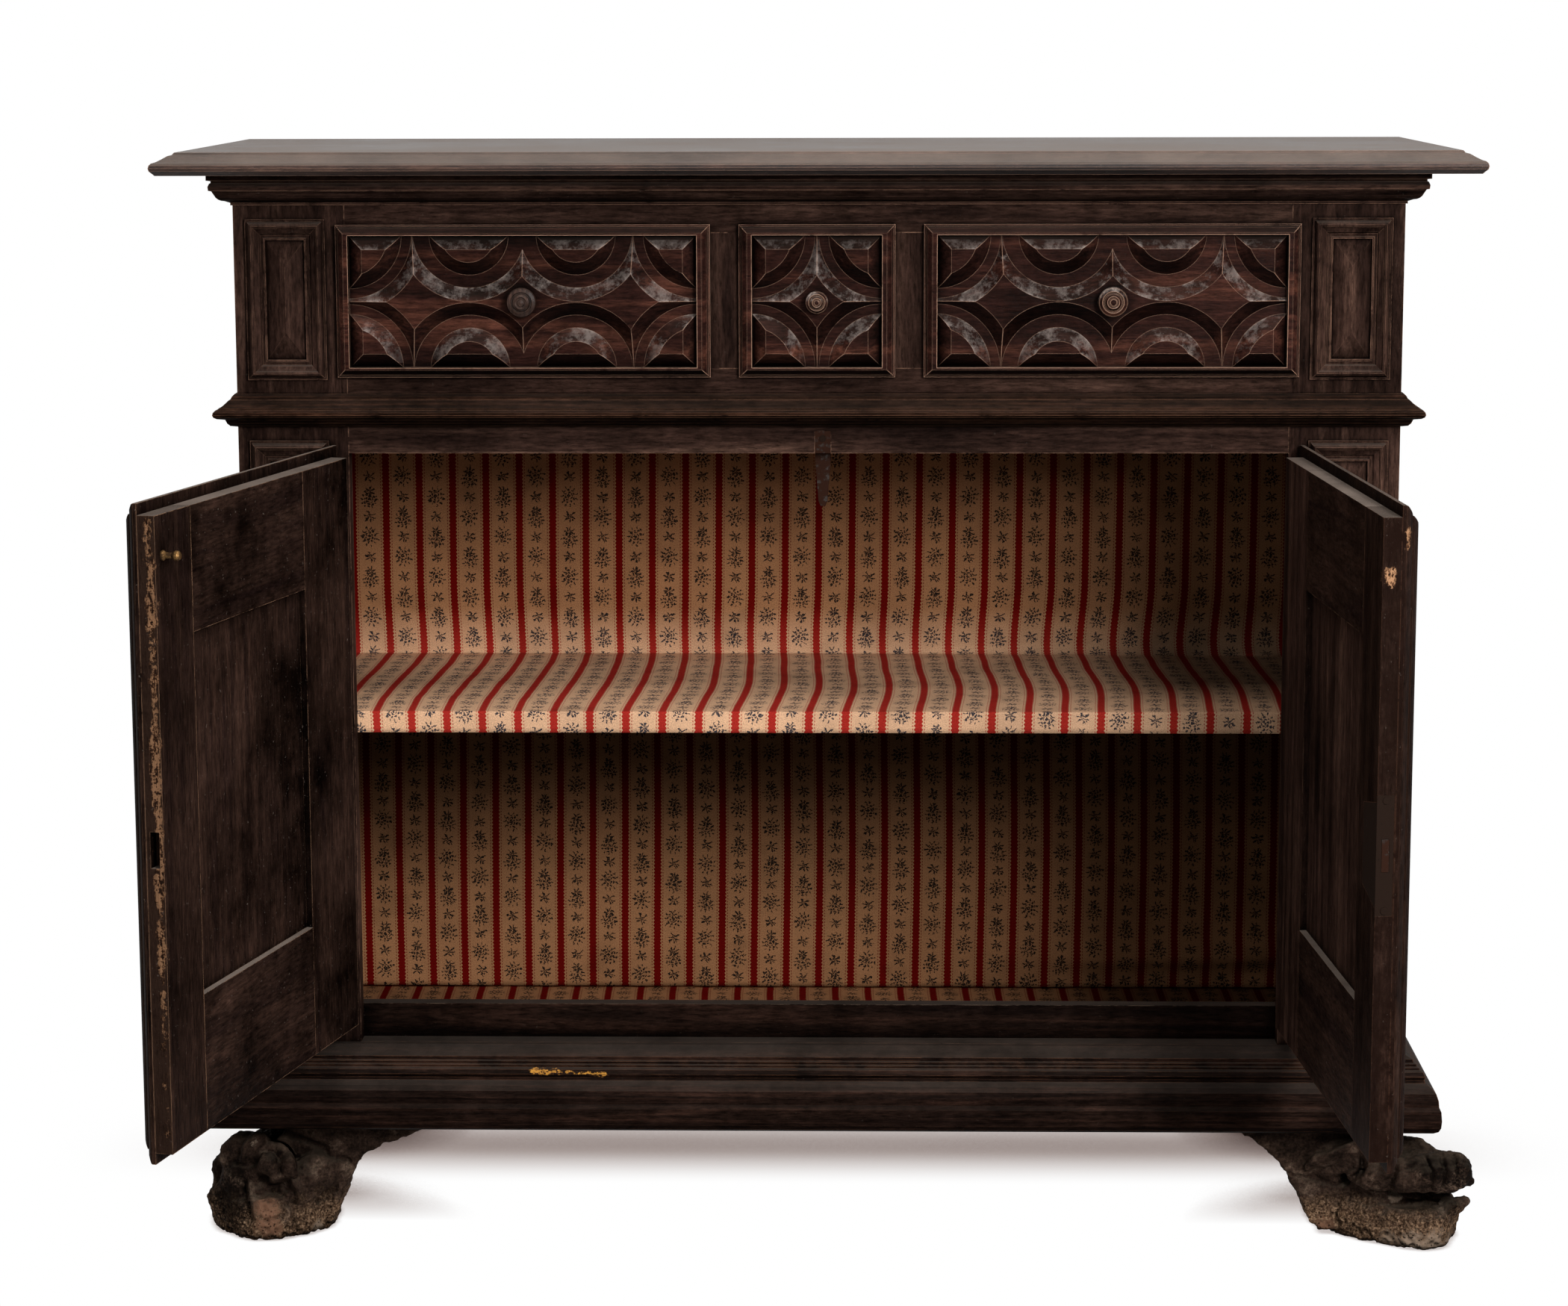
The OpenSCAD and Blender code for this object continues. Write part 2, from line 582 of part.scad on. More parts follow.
// Cloth on the back wall under the shelf and over the cupboard floor
module lower_lining() color(cloth) placed() along_x(2 * inner_w - 2 * cleat_w - 4 * fit) {
    y1 = back_y;
    z1 = shelf_top - shelf_t - 1;
    z0 = floor_z;
    t = cloth_t;
    polygon(concat([[y1, z1], [y1 - t, z1]], cove(y1, z0, lower_fold_r, t, true),
        [[frame_t + plinth_t, z0 + t], [frame_t + plinth_t, z0]],
        cove(y1, z0, lower_fold_r, 0, false)));
}

// Cranked iron stop: screwed plate, short step back and hanging leg
stop_y = core_t - lip_gap + run_gap + 0.2;
module door_stop() color(iron) placed() translate([stop_x, 0, head_z]) difference() {
    union() {
        block([-stop_w / 2, stop_seat - stop_t, 0], [stop_w / 2, stop_seat, stop_up]);
        block([-stop_w / 2, stop_seat - stop_t, 0], [stop_w / 2, stop_y + stop_t, stop_t]);
        along_y(stop_y, stop_y + stop_t) polygon([[-stop_w / 2, stop_t],
            [-stop_w / 2, -8], [-5, 6 - stop_len], [-2.5, -stop_len], [2.5, -stop_len],
            [5, 6 - stop_len], [stop_w / 2, -8], [stop_w / 2, stop_t]]);
    }
    translate([0, -1, screw_z - head_z]) rotate([-90, 0, 0]) cylinder(r = screw_r, h = 5);
}

// Pintle: a spike in the stile, a short barrel and the pin that the eye turns on
module pintle(z) translate([pivot_x, pivot_y, z]) {
    translate([0, 0, -pintle_h - run_gap]) cylinder(r = barrel_r, h = pintle_h);
    translate([0, 0, -run_gap - 1]) cylinder(r = pin_r, h = eye_h);
    translate([0, 0, -pintle_h / 2]) rotate([-90, 0, 0])
        cylinder(r = spike_r, h = pivot_out + spike_in);
}
module pintles_right() color(iron) placed() for (z = hinge_zs) pintle(z);
module pintles_left() color(iron) placed() mirror([1, 0, 0])
    for (z = hinge_zs) pintle(z);

// Doors are drawn closed, as the right-hand one, and turned about their pins
module swung_right() placed() translate([pivot_x, pivot_y, 0])
    rotate([0, 0, right_open]) translate([-pivot_x, -pivot_y, 0]) children();
module swung_left() placed() translate([-pivot_x, pivot_y, 0])
    rotate([0, 0, -left_open]) translate([pivot_x, -pivot_y, 0])
    mirror([1, 0, 0]) children();

core_y0 = -lip_gap;
core_y1 = core_t - lip_gap;
panel_y0 = core_y0;
panel_y1 = panel_y0 + panel_t;
tongue_y0 = panel_y0 + 3;
tongue_y1 = panel_y1 - 4;
pan_x0 = core_in + meet_w;
pan_x1 = core_out - door_stile_w;
pan_z0 = door_z + door_bottom_w;
pan_z1 = core_top - door_top_w;

// The space that the panel's tongue takes in the stiles and rails
module panel_groove() block([pan_x0 - groove, tongue_y0, pan_z0 - groove],
    [pan_x1 + groove, tongue_y1, pan_z1 + groove]);
module door_hinge_stile() difference() {
    block([pan_x1, core_y0, door_z], [core_out, core_y1, core_top]);
    panel_groove();
}
module door_meeting_stile() difference() {
    block([core_in, core_y0, door_z], [pan_x0, core_y1, core_top]);
    panel_groove();
}
module door_rails() difference() {
    union() {
        block([pan_x0, core_y0, door_z], [pan_x1, core_y1, pan_z0]);
        block([pan_x0, core_y0, pan_z1], [pan_x1, core_y1, core_top]);
    }
    panel_groove();
}

// Panel with its tongue and a raised field on the front
field_in = 16;
field_p = 12;
field_slope = 30;
module door_panel() {
    block([pan_x0, panel_y0, pan_z0], [pan_x1, panel_y1, pan_z1]);
    panel_groove();
    w = pan_x1 - pan_x0 - 2 * field_in;
    h = pan_z1 - pan_z0 - 2 * field_in;
    translate([(pan_x0 + pan_x1) / 2, panel_y0, (pan_z0 + pan_z1) / 2]) intersection() {
        translate([0, 0, -h / 2]) linear_extrude(h) polygon([[-w / 2, 2], [w / 2, 2],
            [w / 2, -2], [w / 2 - field_slope, -field_p], [field_slope - w / 2, -field_p],
            [-w / 2, -2]]);
        along_x(w) polygon([[2, -h / 2], [-2, -h / 2], [-field_p, field_slope - h / 2],
            [-field_p, h / 2 - field_slope], [-2, h / 2], [2, h / 2]]);
    }
}

// Lipped front frame: thumb moulding outside, ogee round the panel inside.
// Profiles are [distance in from the edge, thickness there].
function thumb_at(u) = lip_edge_t + (lip_t - lip_edge_t) * u;
function thumb() = [[0, 0], [0, lip_edge_t], [1, thumb_at(0.11)], [3.5, thumb_at(0.24)],
    [7, thumb_at(0.4)], [10.5, thumb_at(0.5)], [11.5, thumb_at(0.52)], [12, thumb_at(0.62)],
    [15, thumb_at(0.79)], [18.5, thumb_at(0.94)], [lip_bevel, lip_t]];
function ogee() = [[0, -1], [0, lip_t - 13], [2, lip_t - 13], [5, lip_t - 10.5],
    [10, lip_t - 5], [14, lip_t - 3.5], [16, lip_t], [16, lip_t + 1]];
// Closed outline between a and b with the same profile at both ends
function both_ends(a, b, prof) = concat([for (q = prof) [a + q[0], q[1]]],
    [for (i = [len(prof) - 1:-1:0]) [b - prof[i][0], prof[i][1]]]);
// Solid with the same profile round all four sides
module four_sided(x0, x1, z0, z1, prof) intersection() {
    along_x(4 * lip_x) polygon([for (q = both_ends(z0, z1, prof)) [-q[1], q[0]]]);
    translate([0, 0, z0 - 2 * over]) linear_extrude(z1 - z0 + 4 * over)
        polygon([for (q = both_ends(x0, x1, prof)) [q[0], -q[1]]]);
}
function outwards(prof) = [for (q = prof) [-q[0], q[1]]];
leaf_t = 2.6;
leaf_len = 30;
leaf_h = eye_h - 4;
module door_lip() {
    difference() {
        translate([0, -lip_gap, 0]) difference() {
            four_sided(core_in, lip_x, lip_bottom, lip_top, thumb());
            four_sided(pan_x0, pan_x1, pan_z0, pan_z1, outwards(ogee()));
        }
        for (z = hinge_zs) {
            block([pivot_x - barrel_r - 0.6, -over, z - pintle_h - 1.2],
                  [lip_x + 1, over, z + eye_h + 1]);
            block([pivot_x - leaf_len - fit, pivot_y - leaf_t / 2 - fit, z + 2 - fit],
                  [pivot_x, pivot_y + leaf_t / 2 + fit, z + 2 + leaf_h + fit]);
        }
    }
}

// Hinge eye: a bored barrel on a leaf let into the lip
module hinge_eye(z) translate([pivot_x, pivot_y, z]) difference() {
    union() {
        cylinder(r = barrel_r, h = eye_h);
        block([-leaf_len, -leaf_t / 2, 2], [0, leaf_t / 2, 2 + leaf_h]);
    }
    translate([0, 0, -1]) cylinder(r = pin_r + pin_gap, h = eye_h + 2);
}

module left_hinge_stile() color(walnut) swung_left() door_hinge_stile();
module right_hinge_stile() color(walnut) swung_right() door_hinge_stile();
module left_door_rails() color(walnut) swung_left() door_rails();
module right_door_rails() color(walnut) swung_right() door_rails();
module left_door_panel() color(walnut_dark) swung_left() door_panel();
module right_door_panel() color(walnut_dark) swung_right() door_panel();
module left_door_lip() color(walnut) swung_left() door_lip();
module left_hinge_eyes() color(iron) swung_left() for (z = hinge_zs) hinge_eye(z);
module right_hinge_eyes() color(iron) swung_right() for (z = hinge_zs) hinge_eye(z);

// Strike mortise and peg hole in the left door's meeting stile
bolt_y = (core_y0 + core_y1) / 2;
bolt_len = 40;
strike_d = bolt_throw + 5;
peg_z = core_top - 40;
peg_x = core_in + 17;
peg_r = 3;
module left_meeting_stile() color(walnut) swung_left() difference() {
    door_meeting_stile();
    block([-1, bolt_y - bolt_t / 2 - 1.2, lock_z - bolt_h / 2 - 2],
          [core_in + strike_d, bolt_y + bolt_t / 2 + 1.2, lock_z + bolt_h / 2 + 2]);
    translate([peg_x, core_y1 - 12, peg_z]) rotate([-90, 0, 0])
        cylinder(r = peg_r, h = 13);
}
module door_peg() color(brass) swung_left() translate([peg_x, core_y1, peg_z])
    rotate([-90, 0, 0]) rotate_extrude() polygon([[0, -12], [peg_r, -12], [peg_r, 0],
        [5, 0], [5, 1.5], [3.2, 3.5], [2.8, 10], [3.6, 11.5], [5, 14], [5, 16.5],
        [3.5, 18.5], [0, 19]]);

// Lock: edge plate and case let into the inner face of the right door
lock_w = 62;
case_h = 104;
plate_t = 2;
case_t = 15;
key_x = core_in + 42;
key_z = lock_z - 14;
module lock_solid(g) {
    block([core_in, core_y0 + 1.5 - g, lock_z - lock_plate_h / 2 - g],
          [core_in + plate_t + g, core_y1, lock_z + lock_plate_h / 2 + g]);
    along_y(core_y1 - case_t - g, core_y1) polygon([[core_in, lock_z - case_h / 2 - g],
        [core_in + lock_w + g, lock_z - case_h / 2 + 12 - g],
        [core_in + lock_w + g, lock_z + case_h / 2 - 12 + g],
        [core_in, lock_z + case_h / 2 + g]]);
}
module bolt_space(g) block([core_in - 1, bolt_y - bolt_t / 2 - g, lock_z - bolt_h / 2 - g],
    [core_in + bolt_len + g, bolt_y + bolt_t / 2 + g, lock_z + bolt_h / 2 + g]);
module key_hole(y0, y1) translate([key_x, y0, key_z]) rotate([-90, 0, 0]) {
    cylinder(r = 4.2, h = y1 - y0);
    translate([-1.5, 0, 0]) cube([3, 11, y1 - y0]);
}
lock_screw_z = lock_plate_h / 2 - 5;
module lock_screw_holes() for (s = [-1, 1])
    translate([core_in - 1, bolt_y, lock_z + s * lock_screw_z]) rotate([0, 90, 0])
        cylinder(r = screw_r, h = 14);
module lock_case() color(iron) swung_right() difference() {
    lock_solid(0);
    bolt_space(run_gap);
    key_hole(core_y1 - case_t - 1, core_y1 - 3);
    lock_screw_holes();
}
module lock_bolt() color("#6e6258") swung_right() intersection() {
    bolt_space(0);
    block([core_in, -over, 0], [core_in + bolt_len, over, z_top]);
}
module right_lock_stile() color(walnut) swung_right() difference() {
    door_meeting_stile();
    lock_solid(fit);
    bolt_space(run_gap);
    key_hole(core_y0 - 1, core_y1);
    lock_screw_holes();
}

// Right lip with the keyhole
module right_door_lip() color(walnut) swung_right() difference() {
    door_lip();
    key_hole(-over, over);
}

// Flat-headed screw along +Z, the underside of its head at z = 0
module screw(len) {
    translate([0, 0, -screw_head_t]) cylinder(r = screw_head_r, h = screw_head_t);
    cylinder(r = screw_r, h = len);
}
module stop_screw() color(iron) placed()
    translate([stop_x, stop_seat - stop_t, screw_z]) rotate([-90, 0, 0]) screw(14);
module lock_screws() color(iron) swung_right() for (s = [-1, 1])
    translate([core_in, bolt_y, lock_z + s * lock_screw_z]) rotate([0, 90, 0]) screw(12);

// Carving. A hollow is a round basin as deep as the carving, its wall sloping.
// The block that stands in it is a low cone cut off by the straight bevels.
module hollow(r) rotate([90, 0, 0])
    translate([0, 0, -carve_d]) cylinder(r1 = r - carve_slope, r2 = r + carve_slope / carve_d,
        h = carve_d + 1, $fn = 96);
module carved_block(r) rotate([90, 0, 0])
    translate([0, 0, -carve_d - 1]) cylinder(r1 = r + carve_slope / carve_d,
        r2 = r - carve_slope, h = carve_d + 1, $fn = 96);

// Drawer front: moulded edge, flat border and a field carved with stars
module drawer_front(w, n) {
    h = front_h;
    t = drawer_front_t;
    fw = w - 2 * border_w;
    fh = h - 2 * border_h;
    back = -front_gap;
    face = back - t + 1;
    ch = fh / 2;
    corner_r = fh * 0.577;
    lun_step = fw * 0.307;
    lun_out = fh * 0.031;
    lun_r = ch + lun_out - 0.6;
    difference() {
        intersection() {
            along_x(w) polygon([[back, -h / 2], [back - 6, -h / 2], [back - 7, -h / 2 + 2],
                [back - 11, -h / 2 + 3.5], [back - 14, -h / 2 + 7], [back - 15, -h / 2 + 8],
                [face, -h / 2 + 9], [face, h / 2 - 9], [back - 15, h / 2 - 8],
                [back - 14, h / 2 - 7], [back - 11, h / 2 - 3.5], [back - 7, h / 2 - 2],
                [back - 6, h / 2], [back, h / 2]]);
            translate([0, 0, -h / 2]) linear_extrude(h) polygon([[-w / 2, back],
                [-w / 2, back - 6], [2 - w / 2, back - 7], [3.5 - w / 2, back - 11],
                [7 - w / 2, back - 14], [8 - w / 2, back - 15], [9 - w / 2, face],
                [w / 2 - 9, face], [w / 2 - 8, back - 15], [w / 2 - 7, back - 14],
                [w / 2 - 3.5, back - 11], [w / 2 - 2, back - 7], [w / 2, back - 6],
                [w / 2, back]]);
        }
        difference() {
            intersection() {
                along_y(-t - over, back) square([fw, fh], center = true);
                union() {
                    for (e = [-1, 1], r = [-1, 1]) {
                        translate([e * fw / 2, face, r * ch]) hollow(corner_r);
                        if (n > 1) translate([e * lun_step / 2, face, r * (ch + lun_out)])
                            hollow(lun_r);
                    }
                }
            }
            for (r = [-1, 1]) intersection() {
                along_x(fw) polygon([[face + carve_d + 1, r * (ch + 1)],
                    [face + carve_d, r * ch], [face, r * (ch - bevel_w)],
                    [face, 0], [face + carve_d + 1, 0]]);
                union() {
                    for (e = [-1, 1]) intersection() {
                        translate([e * fw / 2, face, r * ch]) carved_block(corner_r * 0.7);
                        translate([0, 0, -ch]) linear_extrude(fh) polygon([
                            [e * (fw / 2 + 1), face + carve_d + 1],
                            [e * fw / 2, face + carve_d], [e * (fw / 2 - bevel_w), face],
                            [0, face], [0, face + carve_d + 1]]);
                    }
                    if (n > 1) for (e = [-1, 1])
                        translate([e * lun_step / 2, face, r * ch]) carved_block(lun_r * 0.57);
                }
            }
        }
        translate([0, 1, 0]) rotate([90, 0, 0]) cylinder(r = knob_pin_r, h = t + 8);
    }
}

// Drawer box: two sides, a back and a bottom, open at the top
bottom_t = 8;
module drawer_box(w) {
    bw = w - 2 * drawer_lap - 2 * drawer_gap;
    bh = drawer_open_h - runner_gap - drawer_gap;
    z0 = runner_gap - drawer_open_h / 2;
    block([-bw / 2, -front_gap, z0], [-bw / 2 + drawer_side_t, drawer_d, z0 + bh]);
    block([bw / 2 - drawer_side_t, -front_gap, z0], [bw / 2, drawer_d, z0 + bh]);
    block([-bw / 2 + drawer_side_t, drawer_d - drawer_side_t, z0],
          [bw / 2 - drawer_side_t, drawer_d, z0 + bh]);
    block([-bw / 2 + drawer_side_t, -front_gap, z0],
          [bw / 2 - drawer_side_t, drawer_d - drawer_side_t, z0 + bottom_t]);
}

// Turned knob with its pin through the drawer front
knob_pin_r = 4;
knob_p = 20;
module knob(d) {
    r = d / 2;
    seat = -front_gap - drawer_front_t + 1;
    translate([0, seat, 0]) rotate([90, 0, 0]) rotate_extrude() polygon([[0, 0], [r * 0.6, 0],
        [r * 0.6, 2], [r * 0.42, 4], [r * 0.42, 6], [r * 0.9, 9], [r, 11.5],
        [r * 0.94, 14], [r * 0.72, 15.5], [r * 0.68, 14.8], [r * 0.6, 14.8],
        [r * 0.55, 17], [r * 0.4, 18.6], [r * 0.34, 18], [r * 0.26, 18],
        [r * 0.22, knob_p - 0.6], [0, knob_p]]);
    translate([0, -front_gap, 0]) rotate([90, 0, 0])
        cylinder(r = knob_pin_r, h = drawer_front_t - 1);
}

side_front_w = side_open_w + 2 * drawer_lap;
centre_front_w = centre_open + 2 * drawer_lap;
drawer_mid_z = dr_open_z + drawer_open_h / 2;
module at_drawer(x) placed() translate([x, 0, drawer_mid_z]) children();
module left_drawer_front() color(walnut) at_drawer(-side_open_x)
    drawer_front(side_front_w, 3);
module right_drawer_front() color(walnut) at_drawer(side_open_x)
    drawer_front(side_front_w, 3);
module centre_drawer_front() color(walnut_worn) at_drawer(0)
    drawer_front(centre_front_w, 1);
module left_drawer_box() color(raw_wood) at_drawer(-side_open_x) drawer_box(side_front_w);
module right_drawer_box() color(raw_wood) at_drawer(side_open_x) drawer_box(side_front_w);
module centre_drawer_box() color(raw_wood) at_drawer(0) drawer_box(centre_front_w);
module left_drawer_knob() color(walnut_dark) at_drawer(-side_open_x) knob(knob_d);
module right_drawer_knob() color(walnut_worn) at_drawer(side_open_x) knob(knob_d);
module centre_drawer_knob() color(walnut_worn) at_drawer(0) knob(knob_d * 0.76);

top_board();
cornice_moulding();
waist_moulding();
base_moulding();
side_left();
side_right();
stile_left();
stile_right();
frieze_top_rail();
drawer_rail();
muntins();
head_rail();
bottom_rail();
plinth_rail();
back_boards();
cupboard_floor();
dust_board();
drawer_guides();
drawer_kickers();
shelf();
shelf_cleats();
pilaster_frame_ul();
pilaster_frame_ur();
pilaster_frame_ll();
pilaster_frame_lr();
pilaster_bosses();
paw_left();
paw_right();
back_feet();
upper_lining();
lower_lining();
door_stop();
pintles_left();
pintles_right();
left_hinge_stile();
left_meeting_stile();
left_door_rails();
left_door_panel();
left_door_lip();
left_hinge_eyes();
door_peg();
right_hinge_stile();
right_lock_stile();
right_door_rails();
right_door_panel();
right_door_lip();
right_hinge_eyes();
lock_case();
lock_bolt();
stop_screw();
lock_screws();
left_drawer_front();
left_drawer_box();
left_drawer_knob();
centre_drawer_front();
centre_drawer_box();
centre_drawer_knob();
right_drawer_front();
right_drawer_box();
right_drawer_knob();
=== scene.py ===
import bpy
import bmesh
import math
import numpy as np
from mathutils import Matrix, Vector, noise


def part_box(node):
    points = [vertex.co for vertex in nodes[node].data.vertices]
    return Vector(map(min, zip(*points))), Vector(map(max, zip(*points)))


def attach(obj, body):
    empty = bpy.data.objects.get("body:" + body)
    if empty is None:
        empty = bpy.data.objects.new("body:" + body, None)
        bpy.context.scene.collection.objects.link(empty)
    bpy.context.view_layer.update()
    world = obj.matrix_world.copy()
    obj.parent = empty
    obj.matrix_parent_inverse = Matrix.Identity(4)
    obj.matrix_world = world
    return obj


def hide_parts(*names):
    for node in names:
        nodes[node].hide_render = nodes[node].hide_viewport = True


# Walnut credenza with lipped doors, carved drawers, cotton linings and lion-paw feet.
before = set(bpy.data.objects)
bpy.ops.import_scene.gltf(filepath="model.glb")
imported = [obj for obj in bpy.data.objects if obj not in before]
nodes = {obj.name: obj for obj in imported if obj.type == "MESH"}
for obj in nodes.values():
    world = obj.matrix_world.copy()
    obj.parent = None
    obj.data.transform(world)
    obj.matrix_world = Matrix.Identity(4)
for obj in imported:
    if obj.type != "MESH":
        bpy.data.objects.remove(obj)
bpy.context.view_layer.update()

# The CAD was laid out with the front frame's face at y = 0 and the middle of the
# front at x = 0, and then moved. Places below use that layout, in millimetres.
MM = 0.001
STILE_LOW = Vector((-629, 0, 132))
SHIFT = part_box("stile_left")[0] - STILE_LOW * MM


def at(x, y, z):
    """A place of the layout in the row frame's metres."""
    return Vector((x, y, z)) * MM + SHIFT


def placed(name, data):
    """A new object of the scene."""
    made = bpy.data.objects.new(name, data)
    bpy.context.collection.objects.link(made)
    return made


# -------- camera
# The place, turn and lens at which the corners of the front fall where the photograph
# has them, on a film 36 mm wide.
eye = at(58.08, -4078.42, 1333.20)
yaw, pitch, roll = (math.radians(a) for a in (-1.33, -9.39, -0.15))
look = Vector((math.sin(yaw) * math.cos(pitch), math.cos(yaw) * math.cos(pitch),
               math.sin(pitch)))
across = Vector((math.cos(yaw), -math.sin(yaw), 0))
upward = across.cross(look)
right = across * math.cos(roll) + upward * math.sin(roll)
top = upward * math.cos(roll) - across * math.sin(roll)
camera = placed("camera", bpy.data.cameras.new("camera"))
camera.data.lens = 86.84
camera.data.sensor_width = 36
camera.matrix_world = (Matrix.Translation(eye)
                       @ Matrix((right, top, -look)).transposed().to_4x4())
bpy.context.scene.camera = camera
bpy.context.scene.view_settings.view_transform = "Standard"


# -------- material nodes
def colour(code):
    """sRGB hex to a linear colour with alpha 1."""
    parts = [int(code[i:i + 2], 16) / 255 for i in (1, 3, 5)]
    return tuple(c / 12.92 if c <= 0.04045 else ((c + 0.055) / 1.055) ** 2.4
                 for c in parts) + (1.0,)


def add(tree, kind, inputs=(), stops=None, out=0, **settings):
    """Adds a node and gives back one of its outputs, if it has any. inputs are values, hex
    colours or other nodes' outputs, in order or by name; stops are a colour ramp's."""
    made = tree.nodes.new("ShaderNode" + kind)
    for key, value in settings.items():
        setattr(made, key, value)
    for key, value in (inputs.items() if isinstance(inputs, dict) else enumerate(inputs)):
        if isinstance(value, bpy.types.NodeSocket):
            tree.links.new(value, made.inputs[key])
        else:
            made.inputs[key].default_value = colour(value) if isinstance(value, str) else value
    if stops:
        ramp = made.color_ramp.elements
        while len(ramp) < len(stops):
            ramp.new(1.0)
        for stop, (place, tint) in zip(ramp, stops):
            stop.position = place
            stop.color = colour(tint) if isinstance(tint, str) else (tint,) * 3 + (1,)
    return made.outputs[out] if made.outputs else None


def new_material(name):
    material = bpy.data.materials.new(name)
    material.use_nodes = True
    material.node_tree.nodes.clear()
    return material, material.node_tree


def surface(tree, base, roughness, height, depth, strength, gloss, metallic=0.0):
    """Ends a material: its colour, its roughness, height as a relief of depth metres, how
    much a face mirrors when seen square on, and whether it is bare metal."""
    bump = add(tree, "Bump", {"Height": height, "Distance": depth, "Strength": strength})
    shader = add(tree, "BsdfPrincipled", {
        "Base Color": base, "Roughness": roughness, "Normal": bump,
        "Specular IOR Level": gloss, "Metallic": metallic})
    add(tree, "OutputMaterial", (shader,))


# -------- wood
# Walnut planed by hand, waxed and a few hundred years old: a dull dark brown with straight
# streaks, paler where hands rubbed it, and matt with dust on top. Painted shade makes it black
# in the corners and darker underneath, and painted highlights lighten its arrises and the
# crests of its carving.
# Features in a metre, along each way that the fibres run: of the figure, and of the
# finest scuffs. Then what has no grain: its features in a metre, detail and roughness.
GRAIN = {"x": ((2.5, 45, 45), (55, 330, 330)), "y": ((45, 2.5, 45), (330, 55, 330)),
         "z": ((45, 45, 2.5), (330, 330, 55)), "round": ((3, 3, 150), (55, 55, 330))}
PATCHES, RUBS = (7.0, 6.0, 0.7), (45.0, 6.0, 0.75)
DENTS, SPECKS = (70.0, 4.0, 0.5), (260.0, 3.0, 0.7)
# The tones of dust, and of the painted highlight on a carving's crests.
DUST, CREST_HIGHLIGHT_TINT = "#84766c", "#cabbb2"

# The middle height of the drawers' carving, and half its height without the frame.
FRAME_WIDE = 16 * MM
low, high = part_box("centre_drawer_front")
CARVING = ((low.z + high.z) / 2, (high.z - low.z) / 2 - FRAME_WIDE)


